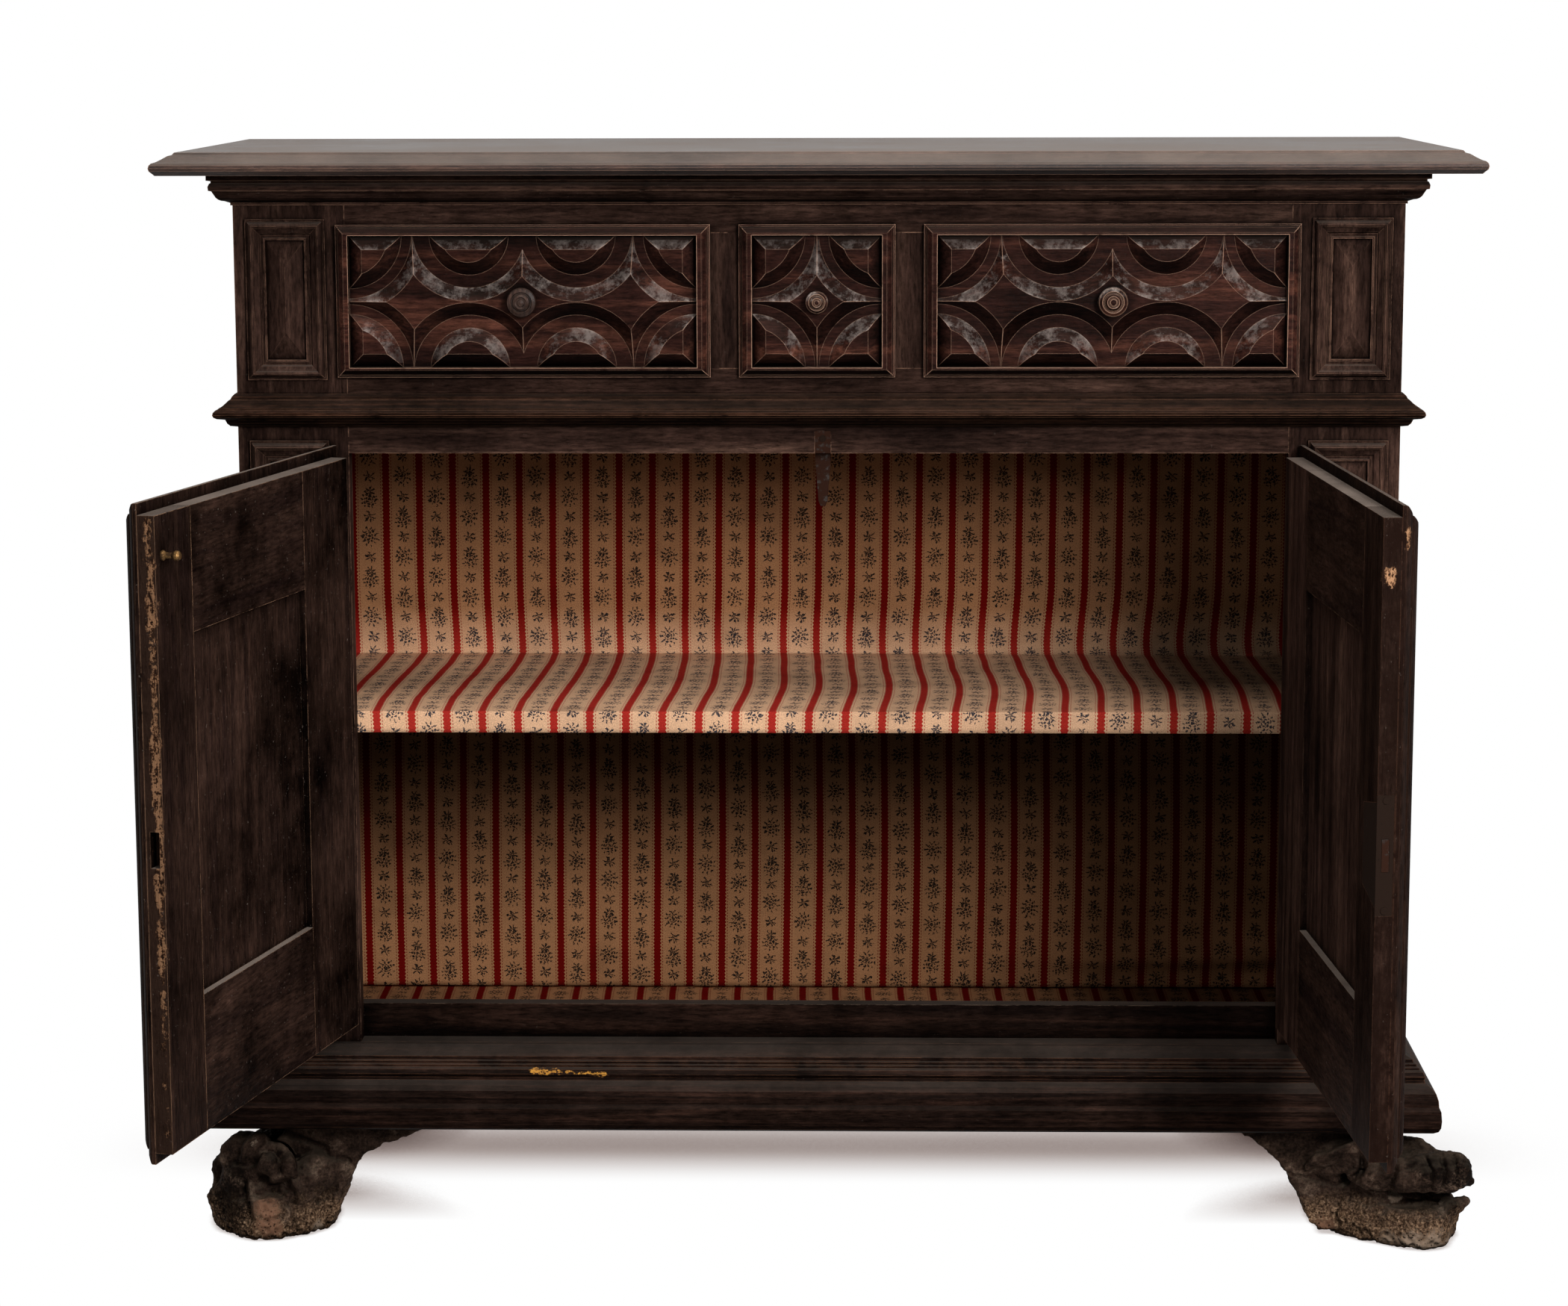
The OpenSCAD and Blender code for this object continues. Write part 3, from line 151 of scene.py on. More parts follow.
def wood(name, grain, shades, worn_and_lit="#7d5743", wear=0.5, dust=0.2, rough=0.5, turn=0.0,
         relief=1.0, gloss=0.006, bare_way=None, bare_tint="#5b4231", spots=(), crest_highlight=0.0,
         hollow=0.022, hollow_tone=0.12, arris=0.0016, under=0.35, mottle=0.5,
         chip="#a87d5c", bareness=0.9):
    """Planed and waxed board. grain is the way the fibres run and turn the angle about Z that
    the piece stands at. shades are its dark, middle and light tones, and mottle is how much
    lighter and darker its patches go. Arrises of about the size arris go to the paler tone
    worn_and_lit, more of them with more wear: partly real wear and partly painted highlight.
    As painted shade, hollows of about the size hollow darken to hollow_tone, and undersides to
    under. dust lies on top, and crest_highlight is how white a painted highlight makes the
    upward crests of a carving. bare_way is the way that an unpolished face of the tone
    bare_tint looks. spots are places chipped or worn to the bare wood, each its middle (x, y,
    z) and its half sizes, chip the lightest tone there and bareness how much of it shows.
    rough, relief and gloss are the surface's own."""
    material, tree = new_material(name)
    coords = add(tree, "TexCoord", out="Object")
    place = coords
    if turn:
        place = add(tree, "VectorRotate", {
            "Vector": coords, "Angle": math.radians(-turn)}, rotation_type="Z_AXIS")
    fibres = add(tree, "Mapping", {"Vector": place, "Scale": GRAIN[grain][0]})
    figure = add(tree, "TexNoise", {
        "Vector": fibres, "Scale": 1.0, "Detail": 6.0, "Roughness": 0.6, "Distortion": 0.8})
    # Walnut's pores and old scratches are about 0.2 mm wide, too fine to show, so they are
    # drawn at 3 mm.
    scuffed = add(tree, "Mapping", {"Vector": place, "Scale": GRAIN[grain][1]})
    pores = add(tree, "TexNoise", {
        "Vector": scuffed, "Scale": 1.0, "Detail": 4.0, "Roughness": 0.75})
    patches, rubs, dents, specks = [
        add(tree, "TexNoise", {
            "Vector": place, "Scale": scale, "Detail": detail, "Roughness": roughness})
        for scale, detail, roughness in (PATCHES, RUBS, DENTS, SPECKS)]
    base = add(tree, "ValToRGB", (figure,),
               stops=[(0.30, shades[0]), (0.52, shades[1]), (0.78, shades[2])])
    blotch = add(tree, "MapRange", {
        "Value": patches, "From Min": 0.35, "From Max": 0.68, "To Min": 1 - mottle,
        "To Max": 1 + 1.2 * mottle})
    pore_dark = add(tree, "MapRange", {
        "Value": pores, "From Min": 0.34, "From Max": 0.66, "To Min": 0.4, "To Max": 1.6})
    tone = add(tree, "Math", (blotch, pore_dark), operation="MULTIPLY")
    base = add(tree, "MixRGB", (1.0, base, tone), blend_type="MULTIPLY")
    # Painted shade darkens the corners and the faces that look down. Hands and cloths rub the
    # arrises bare, and their paler tone there is also a painted highlight.
    corner = add(tree, "AmbientOcclusion", {"Distance": hollow}, out="AO", samples=6)
    hollow_shade = add(tree, "MapRange", {
        "Value": corner, "From Min": 0.42, "From Max": 0.96, "To Min": hollow_tone})
    base = add(tree, "MixRGB", (1.0, base, hollow_shade), blend_type="MULTIPLY")
    flat_normal = add(tree, "NewGeometry", out="Normal")
    rise = add(tree, "SeparateXYZ", (flat_normal,), out="Z")
    # Painted shade: faces that look down are darker.
    below = add(tree, "MapRange", {
        "Value": rise, "From Min": -0.6, "From Max": -0.05, "To Min": under})
    base = add(tree, "MixRGB", (1.0, base, below), blend_type="MULTIPLY")
    # The paler arrises are partly real wear and partly a painted highlight, where light
    # catches them.
    round_normal = add(tree, "Bevel", {"Radius": arris}, samples=6)
    turned = add(tree, "VectorMath", (round_normal, flat_normal), out="Value",
                 operation="DOT_PRODUCT")
    edge = add(tree, "MapRange", {"Value": turned, "From Min": 0.99, "From Max": 0.86})
    rub = add(tree, "MapRange", {
        "Value": rubs, "From Min": 0.60 - 0.3 * wear, "From Max": 0.74 - 0.3 * wear})
    open_share = add(tree, "Math", (corner, 2.0), operation="POWER")
    for share in (rub, open_share, 0.3 + 0.7 * wear):
        edge = add(tree, "Math", (edge, share), operation="MULTIPLY")
    base = add(tree, "MixRGB", (edge, base, worn_and_lit))
    if bare_way:
        own_normal = add(tree, "TexCoord", out="Normal")
        facing = add(tree, "VectorMath", (own_normal, bare_way), out="Value",
                     operation="DOT_PRODUCT")
        bare = add(tree, "MapRange", {"Value": facing, "From Min": 0.93, "From Max": 0.97})
        thin = add(tree, "MapRange", {"Value": rubs, "From Min": 0.3, "From Max": 0.6})
        bare = add(tree, "Math", (bare, thin), operation="MULTIPLY")
        base = add(tree, "MixRGB", (bare, base, bare_tint))
    # Worms have left the bare wood full of holes.
    eaten = add(tree, "Math", (pores, specks), operation="ADD")
    bare_wood = add(tree, "ValToRGB", (eaten,),
                    stops=[(0.88, "#1b100b"), (0.98, "#5a3b28"), (1.0, chip)])
    for middle, half in spots:
        away = add(tree, "VectorMath", (coords, tuple(at(*middle))), operation="SUBTRACT")
        away = add(tree, "VectorMath", (away, tuple(h * MM for h in half)),
                   operation="DIVIDE")
        away = add(tree, "VectorMath", (away,), out="Value", operation="LENGTH")
        ragged = add(tree, "Math", (rubs, 3.2, away), operation="MULTIPLY_ADD")
        ragged = add(tree, "Math", (specks, 1.2, ragged), operation="MULTIPLY_ADD")
        spot = add(tree, "MapRange", {
            "Value": ragged, "From Min": 3.0, "From Max": 2.8, "To Max": bareness})
        base = add(tree, "MixRGB", (spot, base, bare_wood))
    # Dust lies on what faces up, and pale specks of it everywhere.
    dusty = add(tree, "MapRange", {
        "Value": rise, "From Min": 0.3, "From Max": 0.9, "To Max": 2.0 * dust})
    dusty = add(tree, "Math", (dusty, patches), operation="MULTIPLY")
    speck = add(tree, "MapRange", {
        "Value": specks, "From Min": 0.66, "From Max": 0.74, "To Max": 0.5 * dust})
    dusty = add(tree, "Math", (dusty, speck), operation="MAXIMUM")
    base = add(tree, "MixRGB", (dusty, base, DUST))
    if crest_highlight:
        # A painted highlight: whitish smears on the crests of the carving that face upwards,
        # where light from above catches them, but not on the frame round it.
        crest_normal = add(tree, "Bevel", {"Radius": 0.008}, samples=6)
        crest = add(tree, "VectorMath", (crest_normal, flat_normal), out="Value",
                    operation="DOT_PRODUCT")
        crest = add(tree, "MapRange", {
            "Value": crest, "From Min": 0.995, "From Max": 0.90, "To Min": 0.25})
        leaning = add(tree, "MapRange", {"Value": rise, "From Min": 0.02, "From Max": 0.35})
        highlight_smears = add(tree, "TexNoise", {
            "Vector": place, "Scale": 34.0, "Detail": 8.0, "Roughness": 0.8})
        highlight_smears = add(tree, "MapRange", {
            "Value": highlight_smears, "From Min": 0.48, "From Max": 0.62, "To Max": crest_highlight})
        level = add(tree, "SeparateXYZ", (coords,), out="Z")
        inside = add(tree, "Math", (level, CARVING[0], CARVING[1]), operation="COMPARE")
        crest_highlight_mask = leaning
        for share in (highlight_smears, crest, open_share, inside):
            crest_highlight_mask = add(tree, "Math", (crest_highlight_mask, share), operation="MULTIPLY")
        base = add(tree, "MixRGB", (crest_highlight_mask, base, CREST_HIGHLIGHT_TINT))
    sheen = add(tree, "MapRange", {
        "Value": patches, "From Min": 0.3, "From Max": 0.7, "To Min": rough - 0.07,
        "To Max": rough + 0.12})
    height = add(tree, "Math", (pores, 0.8, dents), operation="MULTIPLY_ADD")
    surface(tree, base, sheen, height, 0.0012 * relief, 0.7, gloss)
    return material


# The dark, middle and light tones of each wood.
WALNUT = ("#1b110e", "#33231d", "#523c32")
DOOR = ("#170e0c", "#241813", "#36251e")
# The next tones are walnut in painted shade, for the lower, back and inner parts that get less
# light.
SHADED_WALNUT = ("#0c0706", "#1b110d", "#33211a")
RUBBED = ("#110906", "#22150f", "#42291d")
CARVED = ("#140a07", "#281511", "#563327")
POPLAR = ("#5a4230", "#76593f", "#94755a")

# The angle that each door stands open at, the way that its closing edge looks, and its
# places worn bare.
LEFT, RIGHT = -103.3, 94.2
left_close, right_close = (
    tuple(Matrix.Rotation(math.radians(angle), 3, "Z") @ Vector((side, 0, 0)))
    for angle, side in ((LEFT, 1), (RIGHT, -1)))
LEFT_SPOTS = [((-629.5, -521, 805), (8, 20, 80)), ((-629.5, -521, 560), (6, 17, 300)),
              ((-598, -470, 880), (10, 14, 8)), ((-612, -521, 540), (3, 9, 60))]
RIGHT_SPOTS = [((568, -528, 856), (9, 9, 15)), ((548, -525, 818), (9, 8, 10)),
               ((524, -20, 845), (10, 12, 10))]

walnut_z = wood("waxed walnut, upright", "z", WALNUT, worn_and_lit="#94705c", wear=0.6)
walnut_x = wood("waxed walnut, level", "x", WALNUT, worn_and_lit="#94705c", wear=0.6)
walnut_top = wood("waxed walnut, table top", "x", WALNUT, dust=0.5, rough=0.45, wear=1.0,
                  worn_and_lit="#a98570", gloss=0.22)
walnut_round = wood("waxed walnut, moulded", "round", WALNUT, worn_and_lit="#94705c", wear=0.8,
                    dust=0.3)
rubbed_round = wood("rubbed walnut, moulded", "round", RUBBED, worn_and_lit="#8a624b", wear=0.8,
                    dust=0.04, under=0.2)
# The lower, back and inner parts are walnut darkened as painted shade.
dark_round = wood("shaded walnut, moulded", "round", SHADED_WALNUT, worn_and_lit="#7a5138", wear=0.6,
                  dust=0.12, chip="#d0923e",
                  spots=[((-300, -45, 196), (42, 20, 5)), ((-255, -45, 194), (22, 20, 4))])
dark_x = wood("shaded walnut, level", "x", SHADED_WALNUT, dust=0.14, rough=0.6, worn_and_lit="#6f5d4e")
dark_z = wood("shaded walnut, upright", "z", SHADED_WALNUT, dust=0.3, rough=0.6)
polished = wood("polished walnut, turned", "z", WALNUT, wear=0.3, dust=0.1, rough=0.3,
                gloss=0.12)
carved = wood("carved walnut", "x", CARVED, worn_and_lit="#d0a48a", wear=0.95, dust=0.1, rough=0.4,
              gloss=0.02, crest_highlight=0.9, hollow_tone=0.05, arris=0.0013, under=0.12)
raw = wood("bare poplar", "y", POPLAR, wear=0.2, rough=0.7)
raw_x = wood("bare poplar, level", "x", POPLAR, wear=0.2, rough=0.7)
left_z = wood("waxed walnut, left door", "z", DOOR, mottle=0.85, turn=LEFT,
              worn_and_lit="#94715a", wear=0.7, dust=0.9)
left_x = wood("waxed walnut, left door rails", "x", DOOR, mottle=0.85, turn=LEFT,
              worn_and_lit="#94715a", wear=0.6, dust=0.9)
left_edge = wood("worm-eaten walnut, left door edge", "z", DOOR, turn=LEFT, worn_and_lit="#a07b5f",
                 wear=0.8, dust=0.6, relief=2.5, bare_way=left_close, bare_tint="#2f211a",
                 spots=LEFT_SPOTS, bareness=0.6)
right_z = wood("waxed walnut, right door", "z", WALNUT, turn=RIGHT, worn_and_lit="#80604c", wear=0.6,
               dust=0.6, spots=RIGHT_SPOTS)
right_x = wood("waxed walnut, right door rails", "x", DOOR, turn=RIGHT, worn_and_lit="#94715a",
               wear=0.5, dust=0.8)
right_edge = wood("reddish walnut, right door edge", "z", DOOR, turn=RIGHT, worn_and_lit="#7a5440",
                  wear=0.6, dust=0.4, relief=1.5, bare_way=right_close, bare_tint="#1a0f0b",
                  spots=RIGHT_SPOTS)


def metal(name, tint, rust, rough, rust_share):
    """Forged and filed metal, nearly black and dull, with patches of rust or tarnish about
    7 mm across."""
    material, tree = new_material(name)
    place = add(tree, "TexCoord", out="Object")
    spots = add(tree, "TexNoise", {
        "Vector": place, "Scale": 140.0, "Detail": 6.0, "Roughness": 0.7})
    share = add(tree, "MapRange", {
        "Value": spots, "From Min": 0.68 - 0.4 * rust_share,
        "From Max": 0.78 - 0.4 * rust_share})
    base = add(tree, "MixRGB", (share, tint, rust))
    metallic = add(tree, "MapRange", {"Value": share, "To Min": 1.0, "To Max": 0.1})
    roughness = add(tree, "MapRange", {"Value": share, "To Min": rough, "To Max": 0.85})
    surface(tree, base, roughness, spots, 0.0005, 0.7, 0.02, metallic)
    return material


iron = metal("forged iron", "#1a1512", "#221813", 0.7, 0.95)
bright_iron = metal("filed iron", "#332d2a", "#2c1a13", 0.55, 0.75)
brass = metal("tarnished brass", "#7a5c38", "#3a2a1c", 0.45, 0.6)

finishes = {
    walnut_top: ["top_board"],
    walnut_round: ["cornice_moulding"],
    rubbed_round: ["waist_moulding"],
    dark_round: ["base_moulding"],
    walnut_z: ["stile_left", "stile_right", "side_left", "side_right", "muntins",
               "pilaster_frame_ul", "pilaster_frame_ur", "pilaster_frame_ll",
               "pilaster_frame_lr", "pilaster_bosses"],
    walnut_x: ["frieze_top_rail", "drawer_rail", "head_rail"],
    dark_x: ["bottom_rail", "plinth_rail", "cupboard_floor", "dust_board"],
    dark_z: ["back_boards", "back_feet"],
    polished: ["left_drawer_knob"],
    raw: ["drawer_guides", "drawer_kickers", "shelf_cleats", "left_drawer_box",
          "centre_drawer_box", "right_drawer_box"],
    raw_x: ["shelf"],
    carved: ["left_drawer_front", "centre_drawer_front", "right_drawer_front",
             "centre_drawer_knob", "right_drawer_knob"],
    left_z: ["left_hinge_stile", "left_door_panel", "left_door_lip"],
    left_edge: ["left_meeting_stile"],
    left_x: ["left_door_rails"],
    right_z: ["right_hinge_stile", "right_door_panel"],
    right_edge: ["right_lock_stile", "right_door_lip"],
    right_x: ["right_door_rails"],
    iron: ["pintles_left", "pintles_right", "left_hinge_eyes", "right_hinge_eyes",
           "lock_case", "stop_screw", "lock_screws"],
    bright_iron: ["door_stop", "lock_bolt"],
    brass: ["door_peg"],
}
for material, names in finishes.items():
    for name in names:
        nodes[name].data.materials.clear()
        nodes[name].data.materials.append(material)


# -------- printed cotton
# Thin cotton, plain woven and roller printed: matt and faded, with painted shade that browns
# it on the wall, towards the top and towards the right. Each tone is given lit and in painted
# shade.
CREAM, SPRAY_INK, RED = ("#e2b48f", "#a0724f"), ("#3a3940", "#211c19"), ("#ac2d25", "#650b08")
# Half a stripe's width, how deep and long its scallops are, and the dashed line beside
# it: how far out, half its width, and the spacing and length of its dashes. The real
# scallops are about 2.5 mm long, too fine to show, so they are drawn at 4.4 mm. The
# sprays' ink has crept up to half of INK_CREEP.
HALF_STRIPE, SCALLOP_DEEP, SCALLOP_LONG = 4.2, 0.7, 4.4
LINE_OUT, LINE_HALF, DASH_EVERY, DASH_LONG = 6.4, 0.6, 3.6, 2.0
INK_CREEP = 6.5


def printed_cotton(name, pitch, phase, repeat, rise, drift, shaded_above, shade_upward, shade_rightward):
    """Cream cotton, roller printed with red scalloped stripes and with blue-grey sprays, large
    and small in turn. The UV map is the cloth's flat place in metres. pitch is from stripe to
    stripe, phase the place of one, repeat from large spray to large spray, rise the place of
    one and drift how much more than half a repeat each next column is lower, all in
    millimetres. Above shaded_above the cloth takes its tones in painted shade. shade_upward
    and shade_rightward are (from, to, tone): how the painted shade deepens upwards and to the
    right."""
    material, tree = new_material(name)
    uv = add(tree, "UVMap")
    jitter = add(tree, "TexNoise", {"Vector": uv, "Scale": 260.0, "Detail": 2.0}, out="Color")
    jitter = add(tree, "VectorMath", (jitter, (0.5, 0.5, 0.5)), operation="SUBTRACT")
    jitter = add(tree, "VectorMath", {0: jitter, "Scale": INK_CREEP}, operation="SCALE")
    flat = add(tree, "VectorMath", {0: uv, "Scale": 1000.0}, operation="SCALE")
    rough_flat = add(tree, "VectorMath", (flat, jitter), operation="ADD")
    across_mm = add(tree, "SeparateXYZ", (flat,), out="X")
    along_mm = add(tree, "SeparateXYZ", (flat,), out="Y")
    u = add(tree, "Math", (across_mm, phase), operation="SUBTRACT")
    near_stripe = add(tree, "Math", (u, pitch / 2), operation="PINGPONG")
    scallop = add(tree, "Math", (along_mm, 2 * math.pi / SCALLOP_LONG), operation="MULTIPLY")
    scallop = add(tree, "Math", (scallop,), operation="SINE")
    half_width = add(tree, "Math", (scallop, SCALLOP_DEEP, HALF_STRIPE),
                     operation="MULTIPLY_ADD")
    stripe = add(tree, "Math", (near_stripe, half_width), operation="LESS_THAN")
    line = add(tree, "Math", (near_stripe, LINE_OUT, LINE_HALF), operation="COMPARE")
    dash = add(tree, "Math", (along_mm, DASH_EVERY), operation="FLOORED_MODULO")
    dash = add(tree, "Math", (dash, DASH_LONG), operation="LESS_THAN")
    for share in (dash, 0.75):
        line = add(tree, "Math", (line, share), operation="MULTIPLY")
    red_mask = add(tree, "Math", (stripe, line), operation="MAXIMUM")

    ragged_x = add(tree, "SeparateXYZ", (rough_flat,), out="X")
    ragged_y = add(tree, "SeparateXYZ", (rough_flat,), out="Y")
    ragged_u = add(tree, "Math", (ragged_x, phase), operation="SUBTRACT")
    column = add(tree, "Math", (u, pitch), operation="DIVIDE")
    column = add(tree, "Math", (column,), operation="FLOOR")
    middle = add(tree, "Math", (column, pitch, pitch / 2), operation="MULTIPLY_ADD")
    du = add(tree, "Math", (ragged_u, middle), operation="SUBTRACT")
    stepped = add(tree, "Math", (column, repeat / 2 + drift, -rise), operation="MULTIPLY_ADD")
    v = add(tree, "Math", (ragged_y, stepped), operation="ADD")

    def in_cell(shift):
        """The way up from the middle of the cell that holds this point."""
        moved = add(tree, "Math", (v, repeat / 2 + shift), operation="ADD")
        cell = add(tree, "Math", (moved, repeat), operation="FLOORED_MODULO")
        return add(tree, "Math", (cell, repeat / 2), operation="SUBTRACT")

    def leaves(dv, count, start, reach, length, width, mid=(0.0, 0.0), tall=1.0):
        """A ring of leaves round the place mid of the cell, as a mask of 0 and 1: the
        first at the angle start, each reach away and length and width to either side of
        its own middle. The ring is tall times as high as it is wide."""
        x = add(tree, "Math", (du, mid[0]), operation="SUBTRACT")
        y = add(tree, "Math", (dv, mid[1]), operation="SUBTRACT")
        y = add(tree, "Math", (y, tall), operation="DIVIDE")
        xx = add(tree, "Math", (x, x), operation="MULTIPLY")
        away = add(tree, "Math", (y, y, xx), operation="MULTIPLY_ADD")
        away = add(tree, "Math", (away,), operation="SQRT")
        angle = add(tree, "Math", (y, x), operation="ARCTAN2")
        angle = add(tree, "Math", (angle, start), operation="ADD")
        aside = add(tree, "Math", (angle, math.pi / count), operation="PINGPONG")
        aside = add(tree, "Math", (aside, away), operation="MULTIPLY")
        a = add(tree, "Math", (away, reach), operation="SUBTRACT")
        a = add(tree, "Math", (a, length), operation="DIVIDE")
        b = add(tree, "Math", (aside, width), operation="DIVIDE")
        bb = add(tree, "Math", (b, b), operation="MULTIPLY")
        inside = add(tree, "Math", (a, a, bb), operation="MULTIPLY_ADD")
        return add(tree, "Math", (inside, 1.0), operation="LESS_THAN")

    large, small = in_cell(0.0), in_cell(repeat / 2)
    turn = add(tree, "Math", (v, repeat / 2), operation="ADD")
    turn = add(tree, "Math", (turn, 2 * repeat), operation="FLOORED_MODULO")
    second = add(tree, "Math", (turn, repeat), operation="GREATER_THAN")
    rings = {
        "bouquet": [leaves(large, 3, 0.4, 1.2, 1.3, 1.2, (0.4, -3.2)),
                    leaves(large, 5, 0.9, 4.0, 0.9, 2.0, (0.4, -3.2)),
                    leaves(large, 8, 0.2, 6.4, 1.1, 1.7, (0.4, -3.2)),
                    leaves(large, 12, 0.1, 9.0, 1.5, 0.8, (0.0, -3.2)),
                    leaves(large, 7, 0.5, 4.0, 3.0, 0.95, (0.0, 6.6))],
        "rose": [leaves(large, 4, 0.0, 1.4, 1.2, 1.1, (-0.8, 1.0)),
                 leaves(large, 6, 0.7, 4.2, 1.0, 1.8, (-0.8, 1.0)),
                 leaves(large, 9, 0.4, 6.8, 1.2, 1.5, (-0.6, 1.0), 1.05),
                 leaves(large, 11, 0.3, 9.4, 1.6, 0.8, (0.0, 0.6), 1.15)],
        "sprig": [leaves(small, 6, 0.3, 4.9, 2.7, 0.95, tall=0.9),
                  leaves(small, 5, 0.1, 2.0, 1.5, 0.7),
                  leaves(small, 4, 1.0, 5.6, 1.6, 0.8, (0.8, 0.8))],
    }
    masks = {}
    for part, drawn in rings.items():
        masks[part] = drawn[0]
        for mask in drawn[1:]:
            masks[part] = add(tree, "Math", (masks[part], mask), operation="MAXIMUM")
    spray = add(tree, "Mix", {0: second, 2: masks["bouquet"], 3: masks["rose"]})
    ink = add(tree, "Math", (spray, masks["sprig"]), operation="MAXIMUM")
    ragged = add(tree, "TexNoise", {"Vector": uv, "Scale": 700.0, "Detail": 2.0})
    ragged = add(tree, "MapRange", {
        "Value": ragged, "From Min": 0.30, "From Max": 0.46, "To Min": 0.6})
    ink = add(tree, "Math", (ink, ragged), operation="MULTIPLY")

    # A thread is about 0.4 mm, too fine to show here, so the weave is drawn at 1.2 mm.
    weave = add(tree, "TexNoise", {
        "Vector": uv, "Scale": 800.0, "Detail": 2.0, "Roughness": 0.8})
    stain = add(tree, "TexNoise", {
        "Vector": uv, "Scale": 4.5, "Detail": 6.0, "Roughness": 0.65})
    blots = add(tree, "TexNoise", {"Vector": uv, "Scale": 16.0, "Detail": 4.0})
    # Painted shade: above a height the cloth takes its shaded tones, and it darkens upwards
    # and towards the right, where shade falls. The stains and blots are real.
    wall_shade = add(tree, "MapRange", {
        "Value": along_mm, "From Min": shaded_above - 25, "From Max": shaded_above + 45})
    ground, ink_tint, red_tint = [add(tree, "MixRGB", (wall_shade, *tones))
                                  for tones in (CREAM, SPRAY_INK, RED)]
    stained = add(tree, "MapRange", {
        "Value": stain, "From Min": 0.42, "From Max": 0.7, "To Min": 1.05, "To Max": 0.72})
    blotted = add(tree, "MapRange", {
        "Value": blots, "From Min": 0.58, "From Max": 0.68, "To Min": 1.0, "To Max": 0.82})
    upward_shade = add(tree, "MapRange", {
        "Value": along_mm, "From Min": shade_upward[0], "From Max": shade_upward[1], "To Min": 1.0,
        "To Max": shade_upward[2]})
    rightward_shade = add(tree, "MapRange", {
        "Value": across_mm, "From Min": shade_rightward[0], "From Max": shade_rightward[1], "To Min": 1.0,
        "To Max": shade_rightward[2]})
    stains_and_shade = stained
    for share in (blotted, upward_shade, rightward_shade):
        stains_and_shade = add(tree, "Math", (stains_and_shade, share), operation="MULTIPLY")
    base = add(tree, "MixRGB", (ink, ground, ink_tint))
    base = add(tree, "MixRGB", (red_mask, base, red_tint))
    speck = add(tree, "MapRange", {
        "Value": weave, "From Min": 0.3, "From Max": 0.7, "To Min": 0.6, "To Max": 1.3})
    tone = add(tree, "Math", (speck, stains_and_shade), operation="MULTIPLY")
    base = add(tree, "MixRGB", (1.0, base, tone), blend_type="MULTIPLY")
    surface(tree, base, 0.95, weave, 0.0003, 0.5, 0.01)
    return material


def lerp(a, b, t):
    return a + (b - a) * t


def ease(value, low, high):
    """0 below low, 1 above high, and a smooth step between them."""
    t = min(1.0, max(0.0, (value - low) / (high - low)))
    return t * t * (3 - 2 * t)


def wobble(x, y, size, seed):
    """Smooth noise between about -1 and 1, in waves of about size."""
    return noise.noise(Vector((x / size, y / size, seed)))


def mesh_piece(name, verts, faces, body, material, uvs):
    """A new mesh that rides on a body. uvs gives one flat place for each vertex."""
    mesh = bpy.data.meshes.new(name)
    mesh.from_pydata([tuple(v) for v in verts], [], faces)
    layer = mesh.uv_layers.new(name="flat")
    index = np.empty(len(mesh.loops), np.int32)
    mesh.loops.foreach_get("vertex_index", index)
    layer.data.foreach_set("uv", np.asarray(uvs, np.float32)[index].ravel())
    mesh.materials.append(material)
    mesh.validate()
    mesh.shade_smooth()
    piece = placed(name, mesh)
    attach(piece, body)
    return piece


def grid_faces(rows, columns):
    return [(i * columns + j, i * columns + j + 1, (i + 1) * columns + j + 1,
             (i + 1) * columns + j) for i in range(rows - 1) for j in range(columns - 1)]


# The faces that the linings lie on: half the opening's width, the back wall, the top and
# the front of the shelf, and the floor. Then where the sheets begin and end, and behind
# which y the upper one hangs.
INNER, BACK, SHELF, FRONT, FLOOR = 606.5, 420.6, 588.4, 25.0, 174.8
WALL_TOP, SHELF_THICK, TUCK, LOWER_TOP = 950, 23, 28, 564
FLOOR_BACK, FLOOR_FRONT, ON_WALL = 419, 44.5, 400
CLOTH_THICK = 0.8 * MM
cloth_xs = np.linspace(-INNER, INNER, 122)


def hung_cloth(name, profile_at, start, sway, material):
    """A sheet whose cross-section in (y, z) millimetres is profile_at(x), and whose threads
    wander sideways by up to about sway. Its flat place is x across, and along it start
    less the run of the section so far. Gives the sheet, and its length in metres."""
    sections = [profile_at(x) for x in cloth_xs]

    def aside(x, y, z):
        """The threads wander where the cloth lies, hardly on the wall, and never at the
        sides."""
        lying = 1 - 0.85 * ease(z, SHELF + 5, SHELF + 90)
        loose = sway * lying * (1 - (x / INNER) ** 8)
        return loose * wobble(x * 0.3, y + z, size=230, seed=31)

    verts = [at(x + aside(x, y, z), y, z) for x, section in zip(cloth_xs, sections)
             for y, z in section]
    uvs = []
    for x, section in zip(cloth_xs, sections):
        runs = np.cumsum([0.0] + [math.dist(a, b) for a, b in zip(section, section[1:])])
        uvs += [(x * MM, (start - run) * MM) for run in runs]
    piece = mesh_piece(name, verts, grid_faces(len(cloth_xs), len(runs)), "carcass",
                       material, uvs)
    thick = piece.modifiers.new("thickness", "SOLIDIFY")
    thick.thickness = CLOTH_THICK
    thick.offset = 0
    middle = uvs[len(runs) * (len(cloth_xs) // 2):][:len(runs)]
    return piece, middle[0][1] - middle[-1][1]


